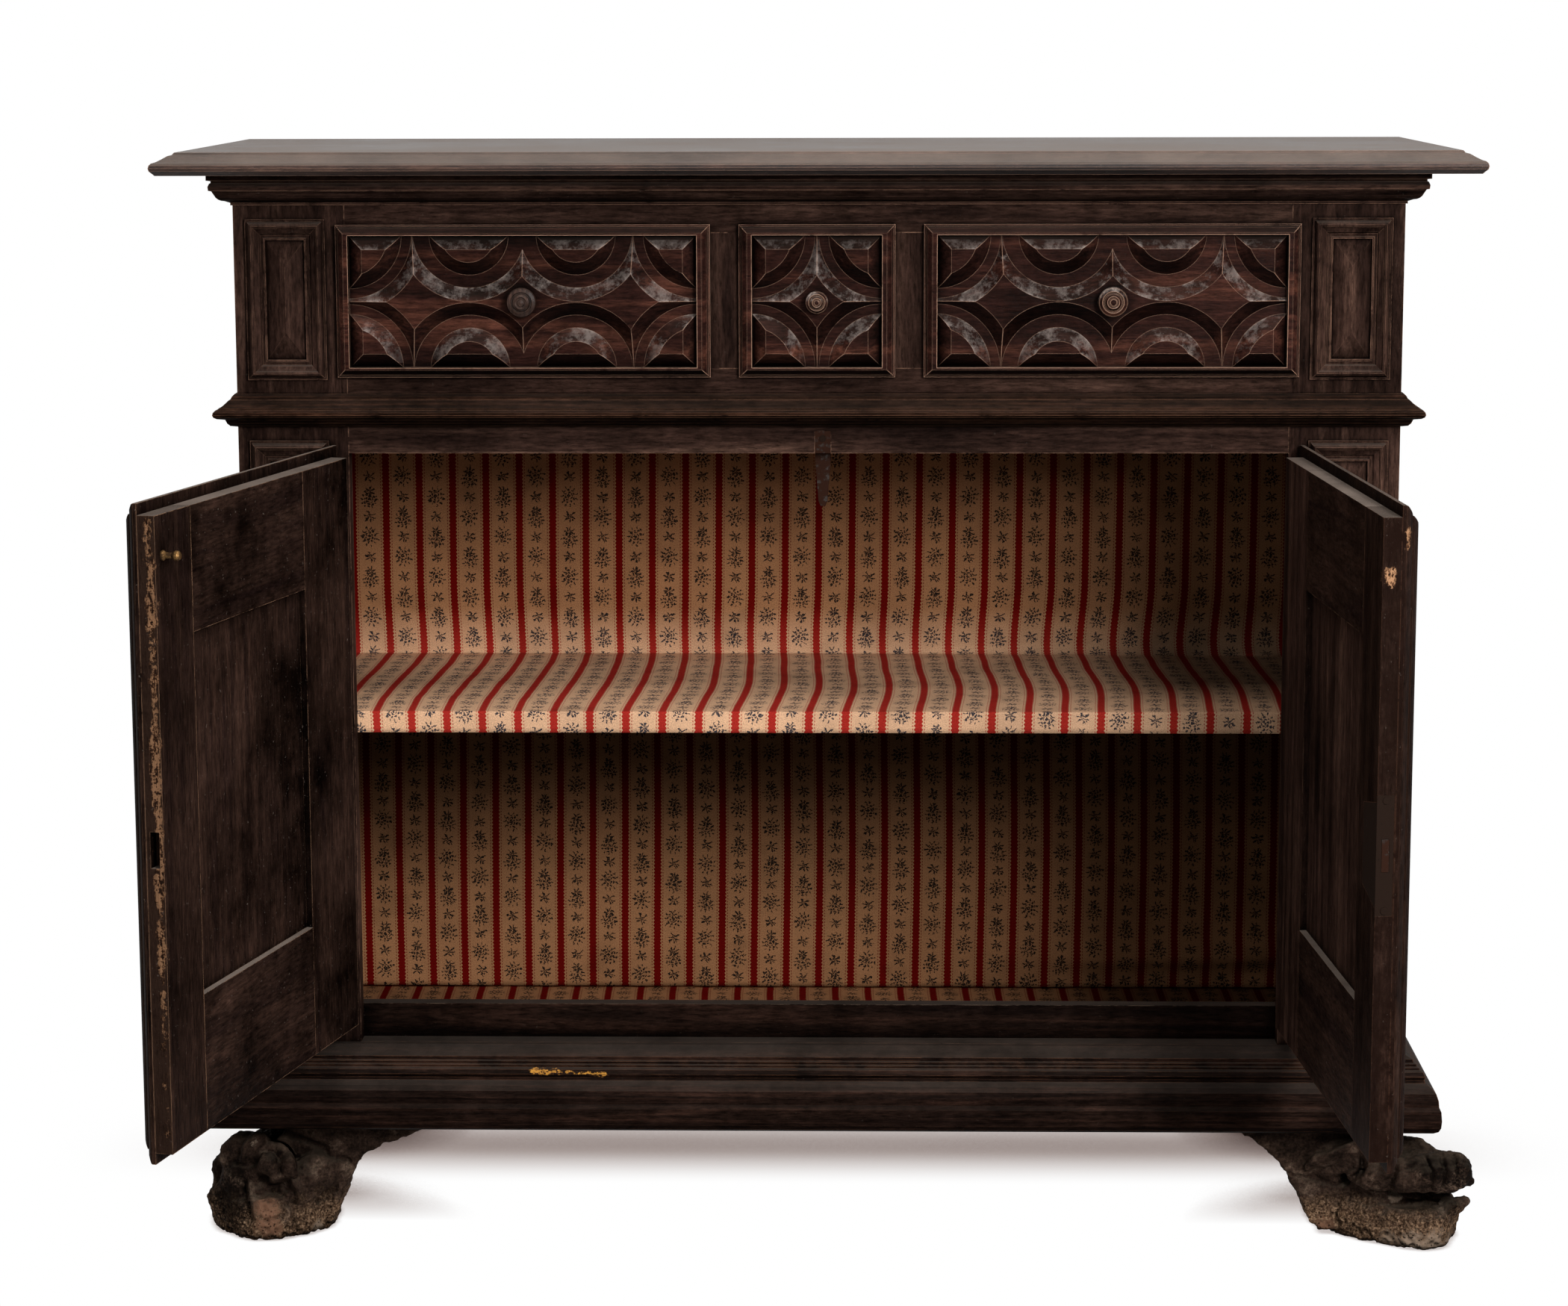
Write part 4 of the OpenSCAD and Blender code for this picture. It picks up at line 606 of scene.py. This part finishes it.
def upper_profile(x):
    """Down the back wall, round a fold that opens towards the right, along the shelf
    and over its rounded front edge."""
    r = lerp(4, 30, ease(x, 0, 560))
    nose = 1.2
    pts = [(BACK, lerp(WALL_TOP, SHELF + r, i / 30)) for i in range(31)]
    pts += [(BACK - r + r * math.cos(a), SHELF + r - r * math.sin(a))
            for a in np.linspace(0, math.pi / 2, 13)[1:]]
    pts += [(lerp(BACK - r, FRONT + nose, i / 30), SHELF) for i in range(1, 31)]
    pts += [(FRONT + nose - nose * math.sin(a), SHELF - nose + nose * math.cos(a))
            for a in np.linspace(0, math.pi / 2, 9)[1:]]
    under = SHELF - SHELF_THICK
    pts += [(FRONT, lerp(SHELF - nose, under, i / 4)) for i in range(1, 5)]
    pts += [(lerp(FRONT, FRONT + TUCK, i / 6), under - 0.6) for i in range(1, 7)]
    slack = 2.0 + 5.0 * ease(x, 100, 550)

    def bulge(y, z):
        """How far the cloth hangs off the wall."""
        hanging = (y > ON_WALL) * ease(WALL_TOP - z, 0, 60)
        return slack * abs(wobble(x, z / 2.5, size=60, seed=3)) * hanging

    def ripple(y):
        """How far it stands off the shelf."""
        lying = ease(y, 32, 90) * ease(BACK - y, 0, 30)
        return (2.4 * abs(wobble(x, y, size=70, seed=7)) + 0.6) * lying

    return [(y - bulge(y, z), z + ripple(y)) for y, z in pts]


def lower_back_profile(x):
    """Down the back wall. On the right the cloth has slipped and bags out at the bottom."""
    bag = 15 * ease(x, 180, 420)
    heights = [lerp(LOWER_TOP, FLOOR + 1.5, i / 60) for i in range(61)]
    return [(BACK - 0.4 - 2.8 * abs(wobble(x, z, size=100, seed=11))
             - bag * math.exp(-((z - 208 - 0.02 * x) / 15) ** 2), z) for z in heights]


def floor_profile(x):
    """From the back wall to the front of the floor, with low creases."""
    return [(lerp(FLOOR_BACK, FLOOR_FRONT, i / 40),
             FLOOR + 0.4 + 2.2 * abs(wobble(x, i * 9, size=70, seed=17)))
            for i in range(41)]


# A height below every sheet, so that all of it takes its tones in painted shade.
ALL_SHADED = -999
upper_cotton = printed_cotton(
    "printed cotton, shelf and wall", pitch=40.0, phase=-4.4, repeat=48.6, rise=49.5,
    drift=0.0, shaded_above=600, shade_upward=(720, 860, 0.75), shade_rightward=(-200, 420, 0.6))
lower_cotton = printed_cotton(
    "printed cotton, lower wall", pitch=39.3, phase=-4.0, repeat=46.6, rise=-1.0,
    drift=0.8, shaded_above=ALL_SHADED, shade_upward=(230, 430, 0.30), shade_rightward=(-300, 0, 0.80))
floor_cotton = printed_cotton(
    "printed cotton, floor", pitch=39.3, phase=-20.0, repeat=46.6, rise=10.0,
    drift=0.0, shaded_above=ALL_SHADED, shade_upward=(0, 900, 1.0), shade_rightward=(100, 400, 0.6))

upper_cloth, run = hung_cloth("shelf_cloth", upper_profile, WALL_TOP, 12.0, upper_cotton)
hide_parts("upper_lining")

wall_cloth, run = hung_cloth("lower_wall_cloth", lower_back_profile, LOWER_TOP, 3.0,
                             lower_cotton)
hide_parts("lower_lining")

floor_cloth, run = hung_cloth("floor_cloth", floor_profile, FLOOR_BACK, 8.0, floor_cotton)


# -------- lion-paw feet
def worm_eaten(name, foot):
    """Carved walnut, dark and dull with age above, porous and ochre where worms and damp
    have eaten the sole."""
    material, tree = new_material(name)
    place = add(tree, "TexCoord", out="Object")
    lumps = add(tree, "TexNoise", {
        "Vector": place, "Scale": 38.0, "Detail": 6.0, "Roughness": 0.7})
    grit = add(tree, "TexNoise", {
        "Vector": place, "Scale": 320.0, "Detail": 4.0, "Roughness": 0.75})
    # Worm holes are 1.5 to 2 mm wide, too fine to show, so they are drawn 4 mm apart.
    holes = add(tree, "TexVoronoi", {"Vector": place, "Scale": 260.0})
    pit = add(tree, "MapRange", {"Value": holes, "From Min": 0.12, "From Max": 0.34})
    # The wood is eaten up to about 16 mm above the floor, and not above about 50.
    above = add(tree, "SeparateXYZ", (place,), out="Z")
    level = add(tree, "Math", (lumps, 0.085, above), operation="MULTIPLY_ADD")
    eaten = add(tree, "MapRange", {"Value": level, "From Min": 0.092, "From Max": 0.058})
    gritty = add(tree, "MapRange", {
        "Value": grit, "From Min": 0.35, "From Max": 0.65, "To Min": 0.45, "To Max": 1.6})
    dark_part = add(tree, "ValToRGB", (lumps,),
                    stops=[(0.35, "#18110d"), (0.55, "#392b23"), (0.75, "#6b594b")])
    eaten_part = add(tree, "ValToRGB", (grit,),
                     stops=[(0.36, "#241912"), (0.5, "#634b38"), (0.66, "#b29174")])
    dark_part = add(tree, "MixRGB", (1.0, dark_part, gritty), blend_type="MULTIPLY")
    base = add(tree, "MixRGB", (eaten, dark_part, eaten_part))
    coarse = add(tree, "Math", (lumps, grit), operation="ADD")
    # Bare wood and pale scuffs are the foot's own; the near black spots are painted shade in
    # its hollows.
    for tint, kind in (("#86614c", "bare"), ("#a8917d", "scuffs"), ("#0c0806", "shaded_hollows")):
        for x, y, z, radius in foot[kind]:
            away = add(tree, "VectorMath", (place, tuple(at(x, y, z))), out="Value",
                       operation="DISTANCE")
            ragged = add(tree, "Math", (coarse, radius * MM * 1.8, away),
                         operation="MULTIPLY_ADD")
            spot = add(tree, "MapRange", {
                "Value": ragged, "From Min": radius * MM * 2.9,
                "From Max": radius * MM * 2.3, "To Max": 0.85})
            base = add(tree, "MixRGB", (spot, base, tint))
    pit_share = add(tree, "MapRange", {"Value": eaten, "To Min": 0.25, "To Max": 0.85})
    base = add(tree, "MixRGB", (pit_share, base, pit), blend_type="MULTIPLY")
    # Painted shade: darker in the hollows between the lobes and in the cuts.
    corner = add(tree, "AmbientOcclusion", {"Distance": 0.025}, out="AO", samples=6)
    hollow_shade = add(tree, "MapRange", {
        "Value": corner, "From Min": 0.4, "From Max": 0.92, "To Min": 0.05})
    base = add(tree, "MixRGB", (1.0, base, hollow_shade), blend_type="MULTIPLY")
    flat_normal = add(tree, "NewGeometry", out="Normal")
    rise = add(tree, "SeparateXYZ", (flat_normal,), out="Z")
    dusty = add(tree, "MapRange", {
        "Value": rise, "From Min": 0.35, "From Max": 0.95, "To Max": 0.22})
    dusty = add(tree, "Math", (dusty, lumps), operation="MULTIPLY")
    base = add(tree, "MixRGB", (dusty, base, "#8a7a68"))
    pitted = add(tree, "Math", (pit, eaten, grit), operation="MULTIPLY_ADD")
    surface(tree, base, 0.72, pitted, 0.0012, 0.9, 0.02)
    return material


def rounded(outline):
    """Cuts the corners of a closed outline, and then the new ones."""
    for _ in range(2):
        outline = [tuple(lerp(a[k], b[k], t) for k in (0, 1))
                   for a, b in zip(outline, outline[1:] + outline[:1]) for t in (0.25, 0.75)]
    return outline


def stack(bm, rings):
    """A closed solid through rings of the same number of places."""
    loops = [[bm.verts.new(p) for p in ring] for ring in rings]
    count = len(loops[0])
    for low, high in zip(loops, loops[1:]):
        for k in range(count):
            bm.faces.new((low[k], low[(k + 1) % count], high[(k + 1) % count], high[k]))
    bm.faces.new(loops[0][::-1])
    bm.faces.new(loops[-1])


def slab(bm, outline, heights):
    """A sole: the outline at each (z, share of its size)."""
    outline = rounded(outline)
    mid = [sum(p[k] for p in outline) / len(outline) for k in (0, 1)]
    stack(bm, [[(lerp(mid[0], x, share), lerp(mid[1], y, share), z) for x, y in outline]
               for z, share in heights])


def board(bm, outline, way, low, high):
    """A board with an outline in x or y and z, between low and high the other way."""
    stack(bm, [[(a, s, z) if way == "x" else (s, a, z) for a, z in outline]
               for s in (low, lerp(low, high, 0.5), high)])


def lobe(bm, points, radii):
    """A rounded finger of wood through the points."""
    for (a, ra), (b, rb) in zip(zip(points, radii), list(zip(points, radii))[1:]):
        steps = max(1, math.ceil(math.dist(a, b) / (0.25 * min(ra, rb))))
        for i in range(steps + 1):
            t = i / steps
            spot = Vector([lerp(p, q, t) for p, q in zip(a, b)])
            bmesh.ops.create_icosphere(bm, subdivisions=3, radius=lerp(ra, rb, t),
                                       matrix=Matrix.Translation(spot))


def near_line(points, line):
    """How far each (x, z) place is from a line of (x, z) corners."""
    best = np.full(len(points), np.inf)
    for a, b in zip(line, line[1:]):
        a, b = np.array(a, float), np.array(b, float)
        run = b - a
        t = np.clip(((points - a) @ run) / (run @ run), 0, 1)
        best = np.minimum(best, np.linalg.norm(points - a - t[:, None] * run, axis=1))
    return best


# A foot is melted together in cubes of VOXEL, and what is cut after that is shallow, so
# the cuts go deeper than they are drawn. It stops just under the carcass, which is 132
# above the floor. Wear has lumps of each (height, size), the worms' hollows are
# WORM_APART, and the wood is softest below SOFT_TO and sound above SOUND_FROM. What lies
# behind CARVED_TO isn't carved. All are in millimetres.
VOXEL, DEEPER, FOOT_TOP, CARVED_TO, BRACKET_Y = 1.8, 1.35, 131.8, 20, (3, 62)
WEAR_LUMPS = ((2.6, 17), (1.6, 7), (0.7, 3.4))
WORM_APART, SOFT_TO, SOUND_FROM = 8, 30, 70


def melted(name, foot):
    """The lobes and boards of a foot as one softened skin, in the layout's millimetres."""
    bm = bmesh.new()
    slab(bm, foot["sole"], foot["heights"])
    board(bm, foot["bracket"], "x", *BRACKET_Y)
    board(bm, BRACKET_SIDE, "y", *foot["side"])
    for points, radii in foot["lobes"]:
        lobe(bm, points, radii)
    bmesh.ops.recalc_face_normals(bm, faces=bm.faces)
    rough_mesh = bpy.data.meshes.new(name + "_blocks")
    bm.to_mesh(rough_mesh)
    bm.free()
    blocks = placed(name + "_blocks", rough_mesh)
    melt = blocks.modifiers.new("melt", "REMESH")
    melt.mode = "VOXEL"
    melt.voxel_size = VOXEL
    soften = blocks.modifiers.new("soften", "SMOOTH")
    soften.iterations = 4
    bpy.context.view_layer.update()
    mesh = bpy.data.meshes.new_from_object(
        blocks.evaluated_get(bpy.context.evaluated_depsgraph_get()))
    bpy.data.objects.remove(blocks)
    bpy.data.meshes.remove(rough_mesh)
    return mesh


def sculpt(name, node, foot, material):
    """A carved foot: cut or raised along the lines on its front, and roughened by worm
    and wear."""
    mesh = melted(name, foot)
    count = len(mesh.vertices)
    co, no = np.empty(count * 3, np.float32), np.empty(count * 3, np.float32)
    mesh.vertices.foreach_get("co", co)
    mesh.vertices.foreach_get("normal", no)
    co, no = co.reshape(-1, 3).astype(float), no.reshape(-1, 3).astype(float)
    front = np.clip(0.25 - no[:, 1] * 1.5, 0, 1) * (co[:, 1] < CARVED_TO)
    push = np.zeros(count)
    for line, width, depth in foot["cuts"]:
        push -= DEEPER * depth * np.exp(-(near_line(co[:, [0, 2]], line) / width) ** 2) * front
    soft = np.clip((SOUND_FROM - co[:, 2]) / (SOUND_FROM - SOFT_TO), 0, 1)
    for i in range(count):
        p = Vector(co[i])
        push[i] += sum(height * noise.noise(p / size) for height, size in WEAR_LUMPS)
        gap = noise.voronoi(p / WORM_APART)[0][0]
        push[i] -= (0.8 + 3.0 * soft[i]) * max(0.0, 0.45 - gap) / 0.45
    co += no * push[:, None]
    co[:, 2] = np.clip(co[:, 2], 0.0, FOOT_TOP)
    mesh.vertices.foreach_set("co", ((co * MM) + np.array(SHIFT)).astype(np.float32).ravel())
    mesh.materials.append(material)
    mesh.shade_smooth()
    piece = placed(name, mesh)
    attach(piece, "carcass")
    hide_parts(node)
    return piece


# The feet, in millimetres: the sole's outline in (x, y) and its share of that at each height,
# the front bracket's outline in (x, z), where the side one begins and ends in x, the lobes
# with their points and radii, and the lines cut on the front in (x, z), each with its width
# and its depth, below nought for a ridge. Both side brackets have this outline in (y, z). Last
# come places (x, y, z, radius): bare orange wood on the sole, pale chipped edges and near
# black spots of painted shade in the hollows.
BRACKET_SIDE = [(158, 132), (156, 122), (136, 112), (120, 98), (108, 82), (98, 60),
                (92, 40), (60, 30), (20, 30), (20, 132)]

RIGHT_FOOT = {
    "sole": [(552, 122), (552, 68), (560, 32), (586, -9), (621, -31), (654, -56), (692, -56),
             (708, -16), (719, 14), (706, 52), (664, 92), (608, 130)],
    "heights": [(0, 0.94), (5, 0.985), (20, 1.0), (34, 0.985), (42, 0.9)],
    "bracket": [(459, 132), (461, 121), (480, 112), (497, 99), (508, 89), (518, 76),
                (527, 64), (534, 50), (541, 34), (549, 14), (560, 4), (600, 4), (600, 132)],
    "side": (560, 616),
    "lobes": [
        ([(588, 62, 60), (610, 40, 58), (636, 12, 50)], [46, 46, 38]),
        ([(640, 10, 70), (660, -8, 66)], [28, 24]),
        ([(556, 20, 74), (578, 2, 88), (604, -4, 90)], [20, 20, 16]),
        ([(604, -12, 80), (616, -22, 78)], [19, 17]),
        ([(622, -22, 76), (648, -36, 80), (676, -40, 85), (700, -38, 86)], [17, 20, 22, 23]),
        ([(706, -38, 80), (719, -40, 77)], [14, 7]),
        ([(650, 4, 76), (690, -8, 76)], [24, 22]),
        ([(640, 26, 84), (668, 22, 86), (686, 14, 74)], [22, 20, 22]),
        ([(616, 62, 78), (648, 56, 78), (668, 44, 66)], [24, 22, 22]),
        ([(606, 96, 66), (628, 90, 62)], [24, 22]),
        ([(700, -28, 40), (716, -20, 47)], [12, 6]),
        ([(664, 4, 58), (692, -12, 58)], [18, 14]),
    ],
    "cuts": [
        ([(522, 70), (548, 64), (580, 56)], 2.2, 2.6),
        ([(545, 78), (560, 91), (578, 100), (606, 107)], 4.0, -8.0),
        ([(556, 72), (576, 80), (594, 86)], 9.0, 6.0),
        ([(604, 97), (596, 80), (586, 60)], 4.0, 9.0),
        ([(634, 92), (628, 76), (632, 64)], 4.5, 6.0),
        ([(668, 106), (676, 90), (674, 70)], 2.6, 3.6),
        ([(686, 110), (690, 92), (688, 70)], 2.4, 3.4),
        ([(700, 108), (704, 90), (702, 74)], 2.4, 3.0),
        ([(636, 57), (662, 54), (690, 55)], 3.4, 5.0),
        ([(600, 52), (640, 50)], 4.0, 2.5),
    ],
    "bare": [(565, 5, 8, 12)],
    "scuffs": [(630, -42, 8, 12), (655, -56, 7, 16), (682, -58, 6, 18), (704, -36, 6, 12),
               (640, -20, 52, 8), (690, -34, 42, 9)],
    "shaded_hollows": [(694, -56, 94, 30), (714, -50, 82, 22), (672, -52, 98, 20),
                (696, -46, 53, 22), (650, -14, 104, 22)],
}

LEFT_FOOT = {
    "sole": [(-694, 60), (-686, 20), (-672, -8), (-656, -22), (-638, -40), (-620, -42),
             (-595, -36), (-569, -18), (-547, 8), (-542, 35), (-546, 98), (-580, 126),
             (-626, 122), (-670, 98)],
    "heights": [(0, 0.94), (5, 0.98), (20, 1.0), (36, 0.985), (48, 0.92)],
    "bracket": [(-438, 132), (-440, 119), (-466, 108), (-490, 98), (-508, 88), (-518, 76),
                (-525, 60), (-531, 44), (-538, 26), (-546, 8), (-600, 4), (-600, 132)],
    "side": (-616, -560),
    "lobes": [
        ([(-590, 60, 60), (-610, 36, 58), (-632, 14, 54)], [46, 48, 42]),
        ([(-552, 14, 76), (-572, -2, 62), (-584, -6, 44)], [22, 24, 24]),
        ([(-610, -10, 84), (-604, -14, 78)], [21, 20]),
        ([(-628, -2, 92), (-645, 4, 97), (-654, 10, 88)], [19, 17, 18]),
        ([(-655, 8, 80), (-664, 6, 80)], [13, 10]),
        ([(-650, 14, 40), (-664, 14, 30), (-664, 26, 24)], [26, 24, 24]),
        ([(-640, -8, 62), (-648, -4, 56)], [17, 17]),
        ([(-650, 40, 74), (-668, 44, 58)], [24, 20]),
        ([(-624, 70, 74), (-648, 70, 60)], [26, 24]),
        ([(-606, 98, 66), (-626, 92, 60)], [24, 22]),
    ],
    "cuts": [
        ([(-640, 88), (-636, 103), (-628, 109), (-617, 112), (-605, 110), (-597, 104),
          (-592, 95), (-591, 82), (-586, 69), (-579, 56), (-577, 47)], 4.5, -6.5),
        ([(-628, 84), (-622, 100), (-608, 103), (-600, 92), (-598, 76)], 3.2, 5.0),
        ([(-607, 88), (-612, 84)], 9.0, -5.0),
        ([(-598, 112), (-571, 101), (-553, 94), (-528, 80)], 3.4, 4.0),
        ([(-590, 40), (-580, 34), (-562, 38)], 5.0, 3.0),
        ([(-645, 66), (-643, 48), (-637, 24)], 8.0, 9.0),
        ([(-616, 70), (-626, 60), (-634, 70)], 5.0, 4.0),
        ([(-586, 30), (-583, 16), (-580, 6)], 2.2, 3.0),
        ([(-616, 24), (-604, 26), (-594, 30)], 2.2, 3.0),
    ],
    "bare": [(-616, -42, 40, 17), (-610, -42, 18, 17)],
    "scuffs": [(-560, -8, 6, 10), (-630, -14, 107, 6), (-604, -20, 108, 6)],
    "shaded_hollows": [(-662, -22, 40, 36), (-652, -12, 72, 22), (-606, -28, 97, 12)],
}

right_paw_wood = worm_eaten("worm-eaten walnut, right foot", RIGHT_FOOT)
left_paw_wood = worm_eaten("worm-eaten walnut, left foot", LEFT_FOOT)
sculpt("lion_paw_right", "paw_right", RIGHT_FOOT, right_paw_wood)
sculpt("lion_paw_left", "paw_left", LEFT_FOOT, left_paw_wood)


# -------- floor and light
# In metres, from the front to the back: where the shadow under the object begins and is
# full, where it gets deeper still, and where the one beside the feet does. Then how far
# from the middle that one ends, to either side.
UNDER, DEEPER_BACK, BESIDE, SIDEWAYS = (0.22, 0.375), (0.31, 0.40), (0.08, 0.24), (0.66, 0.58)


def looked_at(tree):
    """1 where the camera, a reflection or glass looks, and 0 for the light."""
    seen = 0.0
    for kind in ("Camera", "Glossy", "Transmission"):
        ray = add(tree, "LightPath", out=f"Is {kind} Ray")
        seen = add(tree, "Math", (seen, ray), operation="MAXIMUM")
    return seen


def studio_floor():
    """White paper seen by the camera with the object's shadow painted on: under its back half,
    between and beside the feet, and thinly where it stands."""
    material, tree = new_material("white studio floor")
    seen = looked_at(tree)
    wide = add(tree, "AmbientOcclusion", {"Distance": 0.5}, out="AO", samples=12)
    wide = add(tree, "MapRange", {
        "Value": wide, "From Min": 0.15, "From Max": 0.8, "To Min": 0.31})
    place = add(tree, "TexCoord", out="Object")
    depth = add(tree, "SeparateXYZ", (place,), out="Y")
    under = add(tree, "MapRange", {
        "Value": depth, "From Min": UNDER[0], "From Max": UNDER[1]},
        interpolation_type="SMOOTHSTEP")
    close = add(tree, "AmbientOcclusion", {"Distance": 0.008}, out="AO", samples=8)
    close = add(tree, "MapRange", {
        "Value": close, "From Min": 0.3, "From Max": 0.9, "To Min": 0.55})
    deep = add(tree, "MapRange", {
        "Value": depth, "From Min": DEEPER_BACK[0], "From Max": DEEPER_BACK[1],
        "To Min": 1.0, "To Max": 1.2})
    shade = add(tree, "Math", (1.0, wide), operation="SUBTRACT")
    for share in (under, deep):
        shade = add(tree, "Math", (shade, share), operation="MULTIPLY")
    lit = add(tree, "Math", (1.0, shade), operation="SUBTRACT")
    beside = add(tree, "AmbientOcclusion", {"Distance": 0.13}, out="AO", samples=8)
    beside = add(tree, "MapRange", {
        "Value": beside, "From Min": 0.76, "From Max": 0.98, "To Min": 1.0, "To Max": 0.0})
    behind = add(tree, "MapRange", {
        "Value": depth, "From Min": BESIDE[0], "From Max": BESIDE[1]})
    way_out = add(tree, "SeparateXYZ", (place,), out="X")
    way_out = add(tree, "Math", (way_out,), operation="ABSOLUTE")
    between = add(tree, "MapRange", {
        "Value": way_out, "From Min": SIDEWAYS[0], "From Max": SIDEWAYS[1]})
    for share in (behind, between):
        beside = add(tree, "Math", (beside, share), operation="MULTIPLY")
    beside = add(tree, "Math", (1.0, beside), operation="SUBTRACT")
    for share in (close, beside):
        lit = add(tree, "Math", (lit, share), operation="MULTIPLY")
    # Painted shadow: the tone that the camera sees, from white down to a greyish brown.
    tint = add(tree, "ValToRGB", (lit,), stops=[
        (0.0, "#4a3a36"), (0.3, "#9b8d88"), (0.65, "#d6d0ce"), (1.0, "#ffffff")])
    plain = add(tree, "BsdfDiffuse", {"Color": (0.6, 0.6, 0.6, 1)})
    glow = add(tree, "Emission", {"Color": tint})
    both = add(tree, "MixShader", (seen, plain, glow))
    add(tree, "OutputMaterial", (both,))
    mesh = bpy.data.meshes.new("floor")
    mesh.from_pydata([(-9, -9, 0), (9, -9, 0), (9, 9, 0), (-9, 9, 0)], [], [(0, 1, 2, 3)])
    mesh.materials.append(material)
    floor = placed("floor", mesh)


def studio_light():
    """White walls that give little light themselves, and three softboxes."""
    world = bpy.data.worlds.new("studio")
    world.use_nodes = True
    tree = world.node_tree
    tree.nodes.clear()
    strength = add(tree, "MapRange", {"Value": looked_at(tree), "To Min": 0.10})
    back = add(tree, "Background", {"Color": (1, 1, 1, 1), "Strength": strength})
    add(tree, "OutputWorld", (back,))
    bpy.context.scene.world = world

    for name, spot, aim, size, power in (
            ("key softbox", (1.3, -2.6, 1.83), (-0.05, 0, 0.65), (0.65, 1.1), 92),
            ("fill softbox", (-0.5, -3.8, 2.0), (0, 0, 0.6), (1.6, 1.2), 14),
            ("top softbox", (0.0, -0.9, 3.0), (0, 0, 0.8), (1.6, 1.0), 22)):
        lamp = bpy.data.lights.new(name, "AREA")
        lamp.shape = "RECTANGLE"
        lamp.size, lamp.size_y = size
        lamp.energy = power
        holder = placed(name, lamp)
        holder.location = spot
        way = Vector(aim) - Vector(spot)
        holder.rotation_euler = way.to_track_quat("-Z", "Y").to_euler()


studio_floor()
studio_light()
